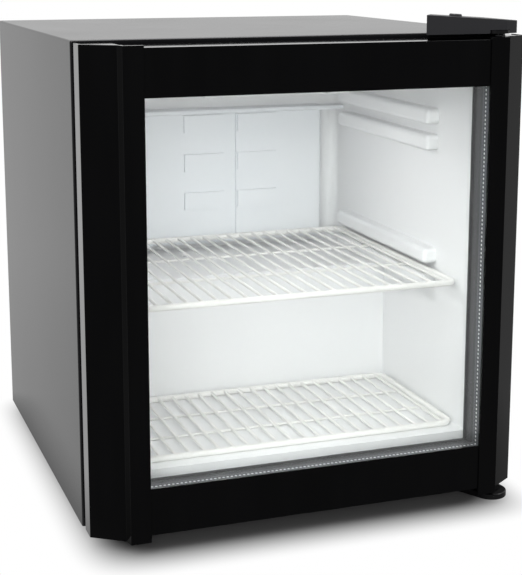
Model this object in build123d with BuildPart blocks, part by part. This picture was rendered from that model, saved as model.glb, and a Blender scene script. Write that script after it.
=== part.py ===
"""Counter-top drinks fridge with a double-glazed door, in millimetres.

+Z is up and the door faces -Y. The origin is on the floor, under the middle of the whole fridge.
"""
import os
from math import hypot

from build123d import *

os.makedirs("parts", exist_ok=True)

# Cabinet
cab_w = 430.0
cab_d = 390.0
cab_h = 450.0
ground_gap = 12.0
sheet_t = 1.0
bend_r = 2.0
front_return = 14.0
seat_clear = 0.3

# Compartment and its liner
wall_side = 35.0
wall_top = 37.0
wall_bottom = 48.0
wall_back = 43.0
liner_t = 1.5
liner_r = 10.0
hump_h = 133.0
hump_d = 147.0

# Shelf ribs moulded in the side walls
rib_h = 16.0
rib_depth = 14.0
rib_corner = 5.0
rib_round = 4.0
rib_start = 72.0
rib_length = 235.0
slot_h = 11.0
shelf_height = 147.5
slot_pitch = 146.0

# Machine bay at the lower back
bay_h = 148.0
bay_d = 148.0

# Door frame
seal_gap = 11.0
door_side_d = 22.0
chamfer_w = 29.0
chamfer_d = 20.0
strip_step = 10.0
step_slant = 2.0
strip_w = 19.0
lip_t = 3.5
profile_t = 2.0
profile_r = 0.6
corner_cut = 3.0
door_lift = 3.0
door_drop = 1.5
rail_set_back = 1.5
rail_lift = 6.0
rail_drop = 2.0
bottom_rail_h = 44.0
top_rail_h = 43.0
fit_clear = 0.2
cap_t = 8.0
cap_recess = 0.5

# Glazing
pane_t = 4.0
pane_gap = 12.0
pane_play = 0.25
glass_bite = 16.0
pane_clear = 1.0
spacer_inset = 2.0
spacer_w = 8.0
sealant_inset = 0.5

# Inner door frame, gasket and magnets
frame_inset = 13.0
frame_step = 13.0
gasket_w = 12.0
gasket_neck_w = 7.0
gasket_base_t = 3.0
gasket_head_t = 3.7
gasket_clear = 0.3
magnet_w = 7.0
magnet_t = 2.0
magnet_clear = 0.1

# Hinges
hinge_inset = 22.0
hinge_reach = 27.0
pin_r = 3.0
pin_clear = 0.05
bush_r = 5.0
bush_play = 0.2
pin_end_gap = 1.5
hinge_plate_t = 3.0
hinge_plate_w = 44.0
hinge_plate_d = 34.0
hinge_nose_r = 9.0
bracket_t = 6.0
bracket_nose_r = 16.0
bracket_nose_reach = 45.0
bracket_nose_inset = 27.0
bracket_w = 44.0
bracket_d = 34.0
washer_r = 5.5

# Hinge cover
cover_w = 97.0
cover_inset = 4.0
cover_overhang = 30.0
cover_d = 70.0
cover_slant = 38.0
cover_left_h = 18.5
cover_right_h = 12.0
cover_t = 2.0
facet_w = 12.0
facet_d = 3.0
cover_slot_clear = 3.0
cap_head_r = 6.0
cap_head_h = 2.5
cap_stem_r = 3.0
cap_inset = 38.0
cap_back = 16.0

# Screws
screw_r = 2.0
screw_head_r = 4.0
screw_head_h = 2.2
screw_bite = 7.0
screw_clear = 0.1

# Wire shelf and floor rack
shelf_side_clear = 3.0
shelf_front = 15.0
shelf_back_clear = 6.0
frame_wire_r = 3.0
thin_wire_r = 1.5
cross_wire_r = 1.4
wire_pitch = 15.0
wire_rest = 0.3
weld_sink = 0.4
rack_end_clear = 8.0

# Back wall panel and evaporator
panel_t = 22.0
panel_skin = 4.0
panel_side = 27.0
panel_edge = 8.0
panel_round = 4.0
panel_drop = 65.5
ledge_h = 5.0
ledge_out = 4.0
ledge_d = 16.0
ledge_round = 1.5
groove_x = 38.0
groove_w = 14.0
groove_depth = 3.0
emboss_x = 70.5
emboss_w = 48.0
emboss_h = 20.0
emboss_t = 3.0
emboss_pitch = 45.0
emboss_drop = 6.5
plate_t = 1.2
plate_margin = 20.0
channel_w = 8.0
channel_t = 2.0
channel_rows = 5

# Control box on the compartment ceiling
box_w = 150.0
box_d = 80.0
box_h = 24.0
box_front = 60.0
box_t = 2.0
knob_x = 46.0
knob_r = 10.0
knob_l = 12.0
knob_flutes = 18
pointer_l = 7.0
pointer_w = 1.5
pointer_h = 0.5
knob_gap = 0.4
shaft_r = 3.0
thermostat_w = 38.0
thermostat_h = 16.0
thermostat_d = 26.0
rocker_x = -46.0
rocker_w = 18.0
rocker_h = 11.0
rocker_d = 8.0
rocker_clear = 0.6
lens_w = 70.0
lens_d = 40.0
lens_t = 1.6
board_t = 1.6
board_lift = 6.0
led_size = 3.5
led_t = 1.0
led_pitch = 15.0
led_count = 4

# Feet
foot_r = 15.0
foot_h = 9.0
stud_r = 4.0
stud_l = 28.0
foot_inset = 35.0
foot_y = 52.0
nut_r = 7.5
nut_h = 12.0
nut_gap = 0.05
rear_foot_r = 13.0
rear_foot_back = 24.0

# Compressor
comp_x = -70.0
comp_w = 150.0
comp_d = 104.0
comp_h = 100.0
comp_top_r = 24.0
comp_bottom_r = 16.0
seam_out = 3.0
seam_h = 5.0
comp_base_w = 176.0
comp_base_d = 96.0
comp_base_t = 3.0
mount_x = 78.0
mount_y = 40.0
grommet_r = 9.0
grommet_h = 12.0
bolt_r = 3.0
bolt_head_r = 6.0
bolt_head_h = 4.0
relay_w = 34.0
relay_d = 44.0
relay_h = 52.0
relay_lift = 14.0
tray_w = 140.0
tray_d = 92.0
tray_h = 14.0
tray_t = 1.8
drain_x = -25.0
drain_r = 6.0
drain_bore = 4.5
drain_back = 85.0

# Pipes
pipe_r = 3.0
pipe_bend = 10.0
drier_r = 8.0
drier_l = 70.0
capillary_r = 1.2

# Condenser on the back
condenser_stand = 14.0
condenser_inset = 50.0
condenser_lift = 30.0
condenser_top_gap = 32.0
condenser_pitch = 40.0
condenser_bend = 18.0
condenser_tube_r = 2.5
condenser_wire_r = 0.8
condenser_wire_pitch = 15.0
condenser_wire_over = 10.0
bracket_arm_w = 12.0
bracket_arm_t = 2.0
bracket_foot_h = 22.0

# Mains inlet
inlet_x = 130.0
inlet_w = 48.0
inlet_h = 28.0
inlet_d = 24.0
inlet_lift = 30.0
inlet_back = 14.0
inlet_plate_t = 2.0
inlet_margin = 10.0
socket_w = 26.0
socket_h = 18.0
socket_depth = 15.0
blade_w = 2.0
blade_h = 5.0
blade_pitch = 7.0

# Places worked out from the sizes above
half_w = cab_w / 2
door_d = seal_gap + door_side_d + chamfer_d + strip_step
condenser_reach = condenser_stand + condenser_tube_r + 2 * condenser_wire_r
overall_d = door_d + cab_d + condenser_reach
cab_front = door_d - overall_d / 2
cab_back = cab_front + cab_d
cab_floor = ground_gap
cab_top = cab_floor + cab_h
foot_x = half_w - foot_inset
cavity_half = half_w - wall_side
cavity_floor = cab_floor + wall_bottom
cavity_top = cab_top - wall_top
cavity_back = cab_back - wall_back
hump_front = cavity_back - hump_d
hump_top = cavity_floor + hump_h
bay_front = cab_back - bay_d
bay_top = cab_floor + bay_h
door_back = cab_front - seal_gap
side_front = door_back - door_side_d
chamfer_front = side_front - chamfer_d
strip_front = chamfer_front - strip_step
chamfer_x = half_w - chamfer_w
strip_x = chamfer_x - step_slant
opening_half = strip_x - strip_w
stile_bottom = cab_floor + door_lift
stile_top = cab_top - door_drop
rail_front = strip_front + rail_set_back
rail_bottom = stile_bottom + rail_lift
rail_top = stile_top - rail_drop
opening_bottom = rail_bottom + bottom_rail_h
opening_top = rail_top - top_rail_h
glass_front = strip_front + lip_t
glass_back = glass_front + 2 * (pane_t + pane_play) + pane_gap
pane_half = opening_half + glass_bite
pane_bottom = opening_bottom - glass_bite
pane_top = opening_top + glass_bite
channel_x = pane_half + pane_clear
frame_half = opening_half + frame_inset
frame_bottom = opening_bottom - frame_inset
frame_top = opening_top + frame_inset
hinge_x = half_w - hinge_inset
hinge_y = cab_front - hinge_reach
cover_right = half_w - cover_inset
cover_left = cover_right - cover_w
cover_front = cab_front - cover_overhang
cover_back = cover_front + cover_d
panel_face = cavity_back - panel_t
shelf_half = cavity_half - shelf_side_clear
slot_floor = cavity_floor + shelf_height
slot_count = 1 + int((cavity_top - slot_floor - slot_h - rib_h) // slot_pitch)
comp_y = (bay_front + cab_back) / 2
comp_floor = cab_floor + sheet_t + grommet_h + comp_base_t
comp_top = comp_floor + comp_h
relay_z = comp_floor + relay_lift
drain_y = cab_back - drain_back
coil_y = cab_back + condenser_stand
condenser_half = half_w - condenser_inset
condenser_bottom = bay_top + condenser_lift
condenser_room = cab_top - condenser_top_gap - condenser_bottom
condenser_runs = 1 + 2 * int(condenser_room // (2 * condenser_pitch))
ceiling_box_y = cab_front + box_front

MID = Align.CENTER
LOW = Align.MIN


def block(x, y, z, mode=Mode.ADD):
    """Box between two limits on each axis."""
    with Locations((x[0], y[0], z[0])):
        Box(x[1] - x[0], y[1] - y[0], z[1] - z[0], align=(LOW, LOW, LOW), mode=mode)


def upright(at, radius, height, mode=Mode.ADD):
    """Cylinder standing on a point."""
    with Locations(at):
        Cylinder(radius, height, align=(MID, MID, LOW), mode=mode)


def ring(half, low, high, width, near, far, mode=Mode.ADD):
    """Flat frame round an opening, between two distances from front to back."""
    with BuildSketch(Plane.XZ.offset(-near)) as face:
        with Locations((0, (low + high) / 2)):
            Rectangle(2 * (half + width), high - low + 2 * width)
            Rectangle(2 * half, high - low, mode=Mode.SUBTRACT)
    extrude(face.sketch, amount=near - far, mode=mode)


def panhead(at):
    """Pan-head screw with its head seated on a point and its shank below."""
    upright(at, screw_head_r, screw_head_h)
    upright((at[0], at[1], at[2] - screw_bite), screw_r, screw_bite)


def pipe(points, radius, bend=pipe_bend):
    """Round tube along a path whose corners are bent to one radius."""
    with BuildLine(mode=Mode.PRIVATE) as route:
        FilletPolyline(*points, radius=bend)
    with BuildSketch(Plane(route.line @ 0, z_dir=route.line % 0)) as section:
        Circle(radius)
    sweep(section.sketch, path=route.line)


def wire(start, end, radius):
    """Straight round wire between two points."""
    run = Vector(*end) - Vector(*start)
    with BuildSketch(Plane(start, z_dir=run)) as section:
        Circle(radius)
    extrude(section.sketch, amount=run.length)


# Fixing points shared by the pieces that they join
foot_places = [(side * foot_x, cab_front + foot_y) for side in (-1, 1)]
rear_foot_places = [(side * foot_x, cab_back - rear_foot_back) for side in (-1, 1)]
mount_places = [(comp_x + i * mount_x, comp_y + j * mount_y) for i in (-1, 1) for j in (-1, 1)]
top_plate_x = hinge_x - hinge_plate_w / 4
top_screw_places = [
    (top_plate_x - hinge_plate_w / 4, cab_front + hinge_plate_d / 3),
    (top_plate_x + hinge_plate_w / 4, cab_front + hinge_plate_d / 3),
    (top_plate_x, cab_front + 2 * hinge_plate_d / 3),
]
bracket_x = hinge_x - bracket_w / 2 - hinge_plate_t
bottom_screw_places = [(bracket_x + i * bracket_w / 4, cab_front + bracket_d / 2) for i in (-1, 1)]
arm_heights = [condenser_bottom + condenser_pitch * run for run in (1, condenser_runs - 2)]
arm_places = [(side * condenser_half / 2, z) for side in (-1, 1) for z in arm_heights]

# Steel wrap: top and both sides bent from one sheet, with a narrow return round the front
with BuildPart() as cabinet_wrap:
    block((-half_w, half_w), (cab_front, cab_back), (cab_floor, cab_top))
    front_edges = faces().sort_by(Axis.Y)[0].edges().sort_by(Axis.Z)[1:]
    top_edges = edges().filter_by(Axis.Y).group_by(Axis.Z)[-1]
    fillet(front_edges + top_edges, bend_r)
    block(
        (sheet_t - half_w, half_w - sheet_t),
        (cab_front + sheet_t, cab_back + sheet_t),
        (cab_floor - sheet_t, cab_top - sheet_t),
        Mode.SUBTRACT,
    )
    block(
        (front_return - half_w, half_w - front_return),
        (cab_front - sheet_t, cab_front + 2 * sheet_t),
        (cab_floor - sheet_t, cab_top - front_return),
        Mode.SUBTRACT,
    )
    for place in top_screw_places:
        upright((*place, cab_top - 2 * sheet_t), screw_r + screw_clear, 4 * sheet_t, Mode.SUBTRACT)
cabinet_wrap.part.label = "cabinet_wrap"
export_step(cabinet_wrap.part, "parts/cabinet_wrap.step")

# Base pan: flat floor of the cabinet with a low upstand at the front
with BuildPart() as base_pan:
    block(
        (sheet_t - half_w, half_w - sheet_t),
        (cab_front + sheet_t, cab_back),
        (cab_floor, cab_floor + sheet_t),
    )
    block(
        (front_return - half_w, half_w - front_return),
        (cab_front, cab_front + sheet_t),
        (cab_floor, cab_floor + front_return),
    )
    for place in foot_places:
        upright((*place, cab_floor - sheet_t), stud_r + fit_clear, 3 * sheet_t, Mode.SUBTRACT)
    for place in mount_places:
        upright((*place, cab_floor - sheet_t), bolt_r + screw_clear, 3 * sheet_t, Mode.SUBTRACT)
    for place in bottom_screw_places + rear_foot_places:
        upright((*place, cab_floor - sheet_t), screw_r + screw_clear, 3 * sheet_t, Mode.SUBTRACT)
base_pan.part.label = "base_pan"
export_step(base_pan.part, "parts/base_pan.step")

# Back panel: one sheet bent round the machine bay
with BuildPart() as back_panel:
    inside = (sheet_t - half_w, half_w - sheet_t)
    block(inside, (cab_back - sheet_t, cab_back), (bay_top, cab_top - sheet_t))
    block(inside, (bay_front, cab_back), (bay_top, bay_top + sheet_t))
    block(inside, (bay_front - sheet_t, bay_front), (cab_floor + sheet_t, bay_top + sheet_t))
    upright((drain_x, drain_y, bay_top - sheet_t), drain_r + fit_clear, 3 * sheet_t, Mode.SUBTRACT)
    for x, z in arm_places:
        with Locations(Location((x, cab_back, z), (90, 0, 0))):
            Cylinder(screw_r + screw_clear, 4 * sheet_t, mode=Mode.SUBTRACT)
back_panel.part.label = "back_panel"
export_step(back_panel.part, "parts/back_panel.step")

# Outline of the compartment from the side, stepped over the machine bay
def compartment_side(grow, front):
    """Side outline of the compartment, grown by a wall, from a front plane backwards."""
    return [
        (front, cavity_floor - grow),
        (hump_front + grow, cavity_floor - grow),
        (hump_front + grow, hump_top - grow),
        (cavity_back + grow, hump_top - grow),
        (cavity_back + grow, cavity_top + grow),
        (front, cavity_top + grow),
    ]


# Air space of the compartment, used to hollow the liner
with BuildPart() as air_space:
    with BuildSketch(Plane.YZ):
        with BuildLine():
            Polyline(*compartment_side(0, cab_front - liner_t), close=True)
        make_face()
    extrude(amount=cavity_half, both=True)
    fillet(edges().filter_by(Axis.Y).group_by(Axis.Z)[-1], liner_r)
    fillet(faces().sort_by(Axis.Y)[-1].edges().filter_by(Axis.Z), liner_r)

# Outer body of the liner, used to hollow the foam
with BuildPart() as liner_body:
    with BuildSketch(Plane.YZ):
        with BuildLine():
            Polyline(*compartment_side(liner_t, cab_front), close=True)
        make_face()
    extrude(amount=cavity_half + liner_t, both=True)
    fillet(edges().filter_by(Axis.Y).group_by(Axis.Z)[-1], liner_r + liner_t)
    fillet(faces().sort_by(Axis.Y)[-1].edges().filter_by(Axis.Z), liner_r + liner_t)

# Shelf ribs: two pairs on each side wall, rounded along their inner edges
with BuildPart() as shelf_ribs:
    for side in (-1, 1):
        for slot in range(slot_count):
            slot_low = slot_floor + slot * slot_pitch
            for rib_z in (slot_low - rib_h / 2, slot_low + slot_h + rib_h / 2):
                rib_end = (side * cavity_half, cab_front + rib_start, rib_z)
                with BuildSketch(Plane(rib_end, x_dir=(0, 1, 0), z_dir=(-side, 0, 0))):
                    with Locations((rib_length / 2, 0)):
                        RectangleRounded(rib_length, rib_h, rib_corner)
                extrude(amount=rib_depth)
    rib_reach = cavity_half - rib_depth / 2
    inner_faces = faces().filter_by(Axis.X).filter_by_position(Axis.X, -rib_reach, rib_reach)
    fillet(inner_faces.edges(), rib_round)

# Inner liner: thermoformed white tub with a front flange and shelf ribs
with BuildPart() as inner_liner:
    add(liner_body.part)
    flange = front_return + seat_clear
    block(
        (flange - half_w, half_w - flange),
        (cab_front, cab_front + liner_t),
        (cab_floor + flange, cab_top - flange),
    )
    add(air_space.part, mode=Mode.SUBTRACT)
    add(shelf_ribs.part)
    upright((drain_x, drain_y, hump_top - 2 * liner_t), drain_bore, 3 * liner_t, Mode.SUBTRACT)
inner_liner.part.label = "inner_liner"
export_step(inner_liner.part, "parts/inner_liner.step")

# Evaporator plate: roll-bonded aluminium against the back of the liner, inside the foam
with BuildPart() as evaporator_plate:
    plate_half = cavity_half - plate_margin
    plate_low = hump_top + plate_margin
    plate_high = cavity_top - plate_margin
    plate_y = cavity_back + liner_t
    block((-plate_half, plate_half), (plate_y, plate_y + plate_t), (plate_low, plate_high))
    channel_gap = (plate_high - plate_low) / (channel_rows + 1)
    for row in range(channel_rows):
        z = plate_low + channel_gap * (row + 1)
        block(
            (plate_margin - plate_half, plate_half - plate_margin),
            (plate_y + plate_t, plate_y + plate_t + channel_t),
            (z - channel_w / 2, z + channel_w / 2),
        )
evaporator_plate.part.label = "evaporator_plate"
export_step(evaporator_plate.part, "parts/evaporator_plate.step")

# Foam between the skins, cut by everything that is cast into it
with BuildPart() as insulation_foam:
    block(
        (sheet_t - half_w, half_w - sheet_t),
        (cab_front + liner_t, cab_back - sheet_t),
        (cab_floor + sheet_t, cab_top - sheet_t),
    )
    add(liner_body.part, mode=Mode.SUBTRACT)
    add(evaporator_plate.part, mode=Mode.SUBTRACT)
    block(
        (-half_w, half_w),
        (bay_front - sheet_t, cab_back),
        (cab_floor, bay_top + sheet_t),
        Mode.SUBTRACT,
    )
    upright((drain_x, drain_y, bay_top), drain_r, hump_top - bay_top, Mode.SUBTRACT)
    for place in foot_places:
        upright((*place, cab_floor), nut_r, sheet_t + nut_h, Mode.SUBTRACT)
        upright((*place, cab_floor), stud_r + fit_clear, stud_l, Mode.SUBTRACT)
    for place in top_screw_places:
        upright((*place, cab_top - screw_bite), screw_r + screw_clear, screw_bite, Mode.SUBTRACT)
    for place in bottom_screw_places:
        upright((*place, cab_floor), screw_r + screw_clear, screw_bite, Mode.SUBTRACT)
    for x, z in arm_places:
        with Locations(Location((x, cab_back - screw_bite / 2, z), (90, 0, 0))):
            Cylinder(screw_r + screw_clear, screw_bite, mode=Mode.SUBTRACT)
insulation_foam.part.label = "insulation_foam"
export_step(insulation_foam.part, "parts/insulation_foam.step")

# Back wall panel: hollow cover with a cable groove, raised pads and a ledge across the top
with BuildPart() as evaporator_cover:
    panel_half = cavity_half - panel_side
    panel_low = hump_top + panel_edge
    panel_high = cavity_top - panel_drop
    panel_ledge_half = cavity_half - seat_clear
    panel_ledge_front = panel_face - ledge_out
    block((-panel_half, panel_half), (panel_face, cavity_back), (panel_low, panel_high))
    fillet(faces().sort_by(Axis.Y)[0].edges(), panel_round)
    block(
        (panel_skin - panel_half, panel_half - panel_skin),
        (panel_face + panel_skin, cavity_back),
        (panel_low + panel_skin, panel_high - panel_skin),
        Mode.SUBTRACT,
    )
    block(
        (-panel_ledge_half, panel_ledge_half),
        (panel_ledge_front, panel_ledge_front + ledge_d),
        (panel_high - ledge_h, panel_high),
    )
    fillet(faces().sort_by(Axis.Y)[0].edges().filter_by(Axis.X), ledge_round)
    block(
        (groove_x - groove_w / 2, groove_x + groove_w / 2),
        (panel_face, panel_face + groove_depth),
        (panel_low, panel_high - ledge_h),
        Mode.SUBTRACT,
    )
    emboss_rows = 1 + int((panel_high - emboss_drop - emboss_h - panel_low) // emboss_pitch)
    for row in range(emboss_rows):
        pad_top = panel_high - emboss_drop - emboss_pitch * row
        for pad_x in (emboss_x, 2 * groove_x - emboss_x):
            block(
                (pad_x - emboss_w / 2, pad_x + emboss_w / 2),
                (panel_face - emboss_t, panel_face),
                (pad_top - emboss_h, pad_top),
            )
evaporator_cover.part.label = "evaporator_cover"
export_step(evaporator_cover.part, "parts/evaporator_cover.step")

# Control box: open-topped plastic housing under the compartment ceiling
with BuildPart() as control_housing:
    box_low = cavity_top - box_h
    box_back = ceiling_box_y + box_d
    block((-box_w / 2, box_w / 2), (ceiling_box_y, box_back), (box_low, cavity_top))
    fillet(edges().filter_by(Axis.Z) + faces().sort_by(Axis.Z)[0].edges().filter_by(Axis.X), box_t)
    block(
        (box_t - box_w / 2, box_w / 2 - box_t),
        (ceiling_box_y + box_t, box_back - box_t),
        (box_low + box_t, cavity_top),
        Mode.SUBTRACT,
    )
    knob_z = box_low + box_h / 2
    with Locations(Location((knob_x, ceiling_box_y, knob_z), (90, 0, 0))):
        Cylinder(shaft_r + pin_clear, 4 * box_t, mode=Mode.SUBTRACT)
    block(
        (rocker_x - rocker_w / 2 - rocker_clear, rocker_x + rocker_w / 2 + rocker_clear),
        (ceiling_box_y - box_t, ceiling_box_y + 2 * box_t),
        (knob_z - rocker_h / 2 - rocker_clear, knob_z + rocker_h / 2 + rocker_clear),
        Mode.SUBTRACT,
    )
    lens_y = ceiling_box_y + box_d / 2
    block(
        (-lens_w / 2, lens_w / 2),
        (lens_y - lens_d / 2, lens_y + lens_d / 2),
        (box_low - box_t, box_low + 2 * box_t),
        Mode.SUBTRACT,
    )
control_housing.part.label = "control_housing"
export_step(control_housing.part, "parts/control_housing.step")

# Thermostat body behind the front wall of the control box
with BuildPart() as thermostat_body:
    body_front = ceiling_box_y + box_t
    block(
        (knob_x - thermostat_w / 2, knob_x + thermostat_w / 2 - box_t),
        (body_front, body_front + thermostat_d),
        (knob_z - thermostat_h / 2, knob_z + thermostat_h / 2),
    )
    with Locations(Location((knob_x, body_front, knob_z), (90, 0, 0))):
        Cylinder(shaft_r + pin_clear, thermostat_d, mode=Mode.SUBTRACT)
thermostat_body.part.label = "thermostat_body"
export_step(thermostat_body.part, "parts/thermostat_body.step")

# Thermostat knob: fluted skirt with a raised pointer, turning on its shaft
with BuildPart() as thermostat_knob:
    knob_face = Plane((knob_x, ceiling_box_y - knob_gap, knob_z), x_dir=(1, 0, 0), z_dir=(0, -1, 0))
    with BuildSketch(knob_face):
        Circle(knob_r)
        with PolarLocations(knob_r + shaft_r / 3, knob_flutes):
            Circle(shaft_r / 2, mode=Mode.SUBTRACT)
    extrude(amount=knob_l)
    with BuildSketch(knob_face.offset(knob_l)):
        with Locations((0, knob_r / 2)):
            Rectangle(pointer_w, pointer_l)
    extrude(amount=pointer_h)
    with BuildSketch(knob_face):
        Circle(shaft_r)
    extrude(amount=-(knob_gap + box_t + thermostat_d / 3))
thermostat_knob.part.label = "thermostat_knob"
export_step(thermostat_knob.part, "parts/thermostat_knob.step")

# Light switch: rocker with a shallow V front, pivoting in its window
with BuildPart() as light_switch:
    rocker_y = ceiling_box_y + box_t / 2
    with BuildSketch(Plane.YZ.offset(rocker_x)):
        with BuildLine():
            Polyline(
                (rocker_y - rocker_d / 2, knob_z + rocker_h / 2),
                (rocker_y - rocker_d / 4, knob_z),
                (rocker_y - rocker_d / 2, knob_z - rocker_h / 2),
                (rocker_y + rocker_d / 4, knob_z - rocker_h / 2),
                (rocker_y + rocker_d / 2, knob_z),
                (rocker_y + rocker_d / 4, knob_z + rocker_h / 2),
                close=True,
            )
        make_face()
    extrude(amount=rocker_w / 2, both=True)
light_switch.part.label = "light_switch"
export_step(light_switch.part, "parts/light_switch.step")

# Lamp lens: ribbed diffuser let into the floor of the control box
with BuildPart() as lamp_lens:
    block(
        (screw_clear - lens_w / 2, lens_w / 2 - screw_clear),
        (lens_y - lens_d / 2 + screw_clear, lens_y + lens_d / 2 - screw_clear),
        (box_low + box_t - lens_t, box_low + box_t),
    )
    block(
        (-lens_w / 2 - box_t, lens_w / 2 + box_t),
        (lens_y - lens_d / 2 - box_t, lens_y + lens_d / 2 + box_t),
        (box_low + box_t, box_low + 2 * box_t),
    )
lamp_lens.part.label = "lamp_lens"
export_step(lamp_lens.part, "parts/lamp_lens.step")

# Light board: strip of lamps on two posts above the lens
with BuildPart() as led_board:
    board_z = box_low + 2 * box_t + board_lift
    board_half = lens_d / 4
    block((-lens_w / 2, lens_w / 2), (lens_y - board_half, lens_y + board_half), (board_z, board_z + board_t))
    for place in range(led_count):
        x = (place - (led_count - 1) / 2) * led_pitch
        block(
            (x - led_size / 2, x + led_size / 2),
            (lens_y - led_size / 2, lens_y + led_size / 2),
            (board_z - led_t, board_z),
        )
    for side in (-1, 1):
        upright((side * (lens_w / 2 - box_t), lens_y, board_z - board_lift), box_t, board_lift)
led_board.part.label = "led_board"
export_step(led_board.part, "parts/led_board.step")


def wire_grid(half, front, back, axis_z, frame_r):
    """Welded grid: a round frame, thin wires from front to back and two cross wires below."""
    with BuildSketch(Plane.XY.offset(axis_z - frame_r)) as loop:
        with Locations((0, (front + back) / 2)):
            RectangleRounded(2 * (half + frame_r), back - front + 2 * frame_r, 4 * frame_r)
            RectangleRounded(2 * (half - frame_r), back - front - 2 * frame_r, 2 * frame_r, mode=Mode.SUBTRACT)
    extrude(loop.sketch, amount=2 * frame_r)
    rims = edges().group_by(Axis.Z)
    fillet(rims[0] + rims[-1], frame_r - weld_sink)
    thin_z = axis_z + frame_r - thin_wire_r - weld_sink
    count = int((half - 2 * frame_r) // wire_pitch)
    for place in range(-count, count + 1):
        x = place * wire_pitch
        wire((x, front, thin_z), (x, back, thin_z), thin_wire_r)
    cross_z = thin_z - thin_wire_r - cross_wire_r + weld_sink
    for share in (1, 2):
        y = front + (back - front) * share / 3
        wire((-half, y, cross_z), (half, y, cross_z), cross_wire_r)


# Wire shelf: slides on the lower pair of ribs
with BuildPart() as wire_shelf:
    wire_grid(
        shelf_half - frame_wire_r,
        cab_front + shelf_front + frame_wire_r,
        panel_face - emboss_t - shelf_back_clear - frame_wire_r,
        slot_floor + frame_wire_r + wire_rest,
        frame_wire_r,
    )
wire_shelf.part.label = "wire_shelf"
export_step(wire_shelf.part, "parts/wire_shelf.step")

# Floor rack: the same grid lying on the compartment floor in front of the hump
with BuildPart() as floor_rack:
    wire_grid(
        shelf_half - frame_wire_r,
        cab_front + shelf_front + frame_wire_r,
        hump_front - rack_end_clear - frame_wire_r,
        cavity_floor + frame_wire_r,
        frame_wire_r,
    )
floor_rack.part.label = "floor_rack"
export_step(floor_rack.part, "parts/floor_rack.step")

# Front levelling feet: ribbed pad on a threaded stud
for side_name, place in zip(("left", "right"), foot_places):
    with BuildPart() as front_foot:
        upright((*place, 0), foot_r, foot_h)
        chamfer(edges().filter_by(GeomType.CIRCLE).group_by(Axis.Z)[0], sheet_t)
        upright((*place, foot_h), stud_r, stud_l - foot_h + cab_floor - sheet_t)
    front_foot.part.label = f"front_foot_{side_name}"
    export_step(front_foot.part, f"parts/front_foot_{side_name}.step")

# Foot nuts: flanged bushes that the studs screw into
with BuildPart() as foot_nuts:
    for place in foot_places:
        upright((*place, cab_floor + sheet_t), nut_r, nut_h)
        upright((*place, cab_floor), stud_r + nut_gap, 2 * nut_h, Mode.SUBTRACT)
foot_nuts.part.label = "foot_nuts"
export_step(foot_nuts.part, "parts/foot_nuts.step")

# Rear feet: plain plastic glides, each held by a screw plug from below
with BuildPart() as rear_feet:
    for place in rear_foot_places:
        upright((*place, 0), rear_foot_r, cab_floor)
        upright((*place, cab_floor), screw_r, sheet_t)
    chamfer(edges().filter_by(GeomType.CIRCLE).group_by(Axis.Z)[0], sheet_t)
rear_feet.part.label = "rear_feet"
export_step(rear_feet.part, "parts/rear_feet.step")

# Compressor base plate on four rubber grommets
with BuildPart() as compressor_base:
    plate_z = comp_floor - comp_base_t
    block(
        (comp_x - comp_base_w / 2, comp_x + comp_base_w / 2),
        (comp_y - comp_base_d / 2, comp_y + comp_base_d / 2),
        (plate_z, comp_floor),
    )
    fillet(edges().filter_by(Axis.Z), grommet_r)
    for place in mount_places:
        upright((*place, plate_z), bolt_r + screw_clear, comp_base_t, Mode.SUBTRACT)
compressor_base.part.label = "compressor_base"
export_step(compressor_base.part, "parts/compressor_base.step")

with BuildPart() as compressor_grommets:
    for place in mount_places:
        upright((*place, cab_floor + sheet_t), grommet_r, grommet_h)
        upright((*place, cab_floor + sheet_t), bolt_r + screw_clear, grommet_h, Mode.SUBTRACT)
compressor_grommets.part.label = "compressor_grommets"
export_step(compressor_grommets.part, "parts/compressor_grommets.step")

with BuildPart() as compressor_bolts:
    for place in mount_places:
        upright((*place, cab_floor), bolt_r, comp_floor - cab_floor)
        with BuildSketch(Plane.XY.offset(comp_floor)):
            with Locations(place):
                RegularPolygon(bolt_head_r, 6)
        extrude(amount=bolt_head_h)
compressor_bolts.part.label = "compressor_bolts"
export_step(compressor_bolts.part, "parts/compressor_bolts.step")

# Compressor shell: two drawn cups with a welded seam
with BuildPart() as compressor_shell:
    with BuildSketch(Plane.XY.offset(comp_floor)):
        with Locations((comp_x, comp_y)):
            Ellipse(comp_w / 2 - bolt_head_r, comp_d / 2 - bolt_head_r)
    extrude(amount=comp_h)
    fillet(faces().sort_by(Axis.Z)[-1].edges(), comp_top_r)
    fillet(faces().sort_by(Axis.Z)[0].edges(), comp_bottom_r)
    with BuildSketch(Plane.XY.offset(comp_floor + comp_h / 2)):
        with Locations((comp_x, comp_y)):
            Ellipse(comp_w / 2 - bolt_head_r + seam_out, comp_d / 2 - bolt_head_r + seam_out)
    extrude(amount=seam_h)
compressor_shell.part.label = "compressor_shell"
export_step(compressor_shell.part, "parts/compressor_shell.step")

# Relay cover clipped on the end of the compressor, cut to the shell
with BuildPart() as relay_cover:
    relay_x = comp_x + comp_w / 2 - relay_w / 2
    block(
        (relay_x, relay_x + relay_w),
        (comp_y - relay_d / 2, comp_y + relay_d / 2),
        (relay_z, relay_z + relay_h),
    )
    fillet(faces().sort_by(Axis.X)[-1].edges(), pipe_r)
    add(compressor_shell.part, mode=Mode.SUBTRACT)
relay_cover.part.label = "relay_cover"
export_step(relay_cover.part, "parts/relay_cover.step")

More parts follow.
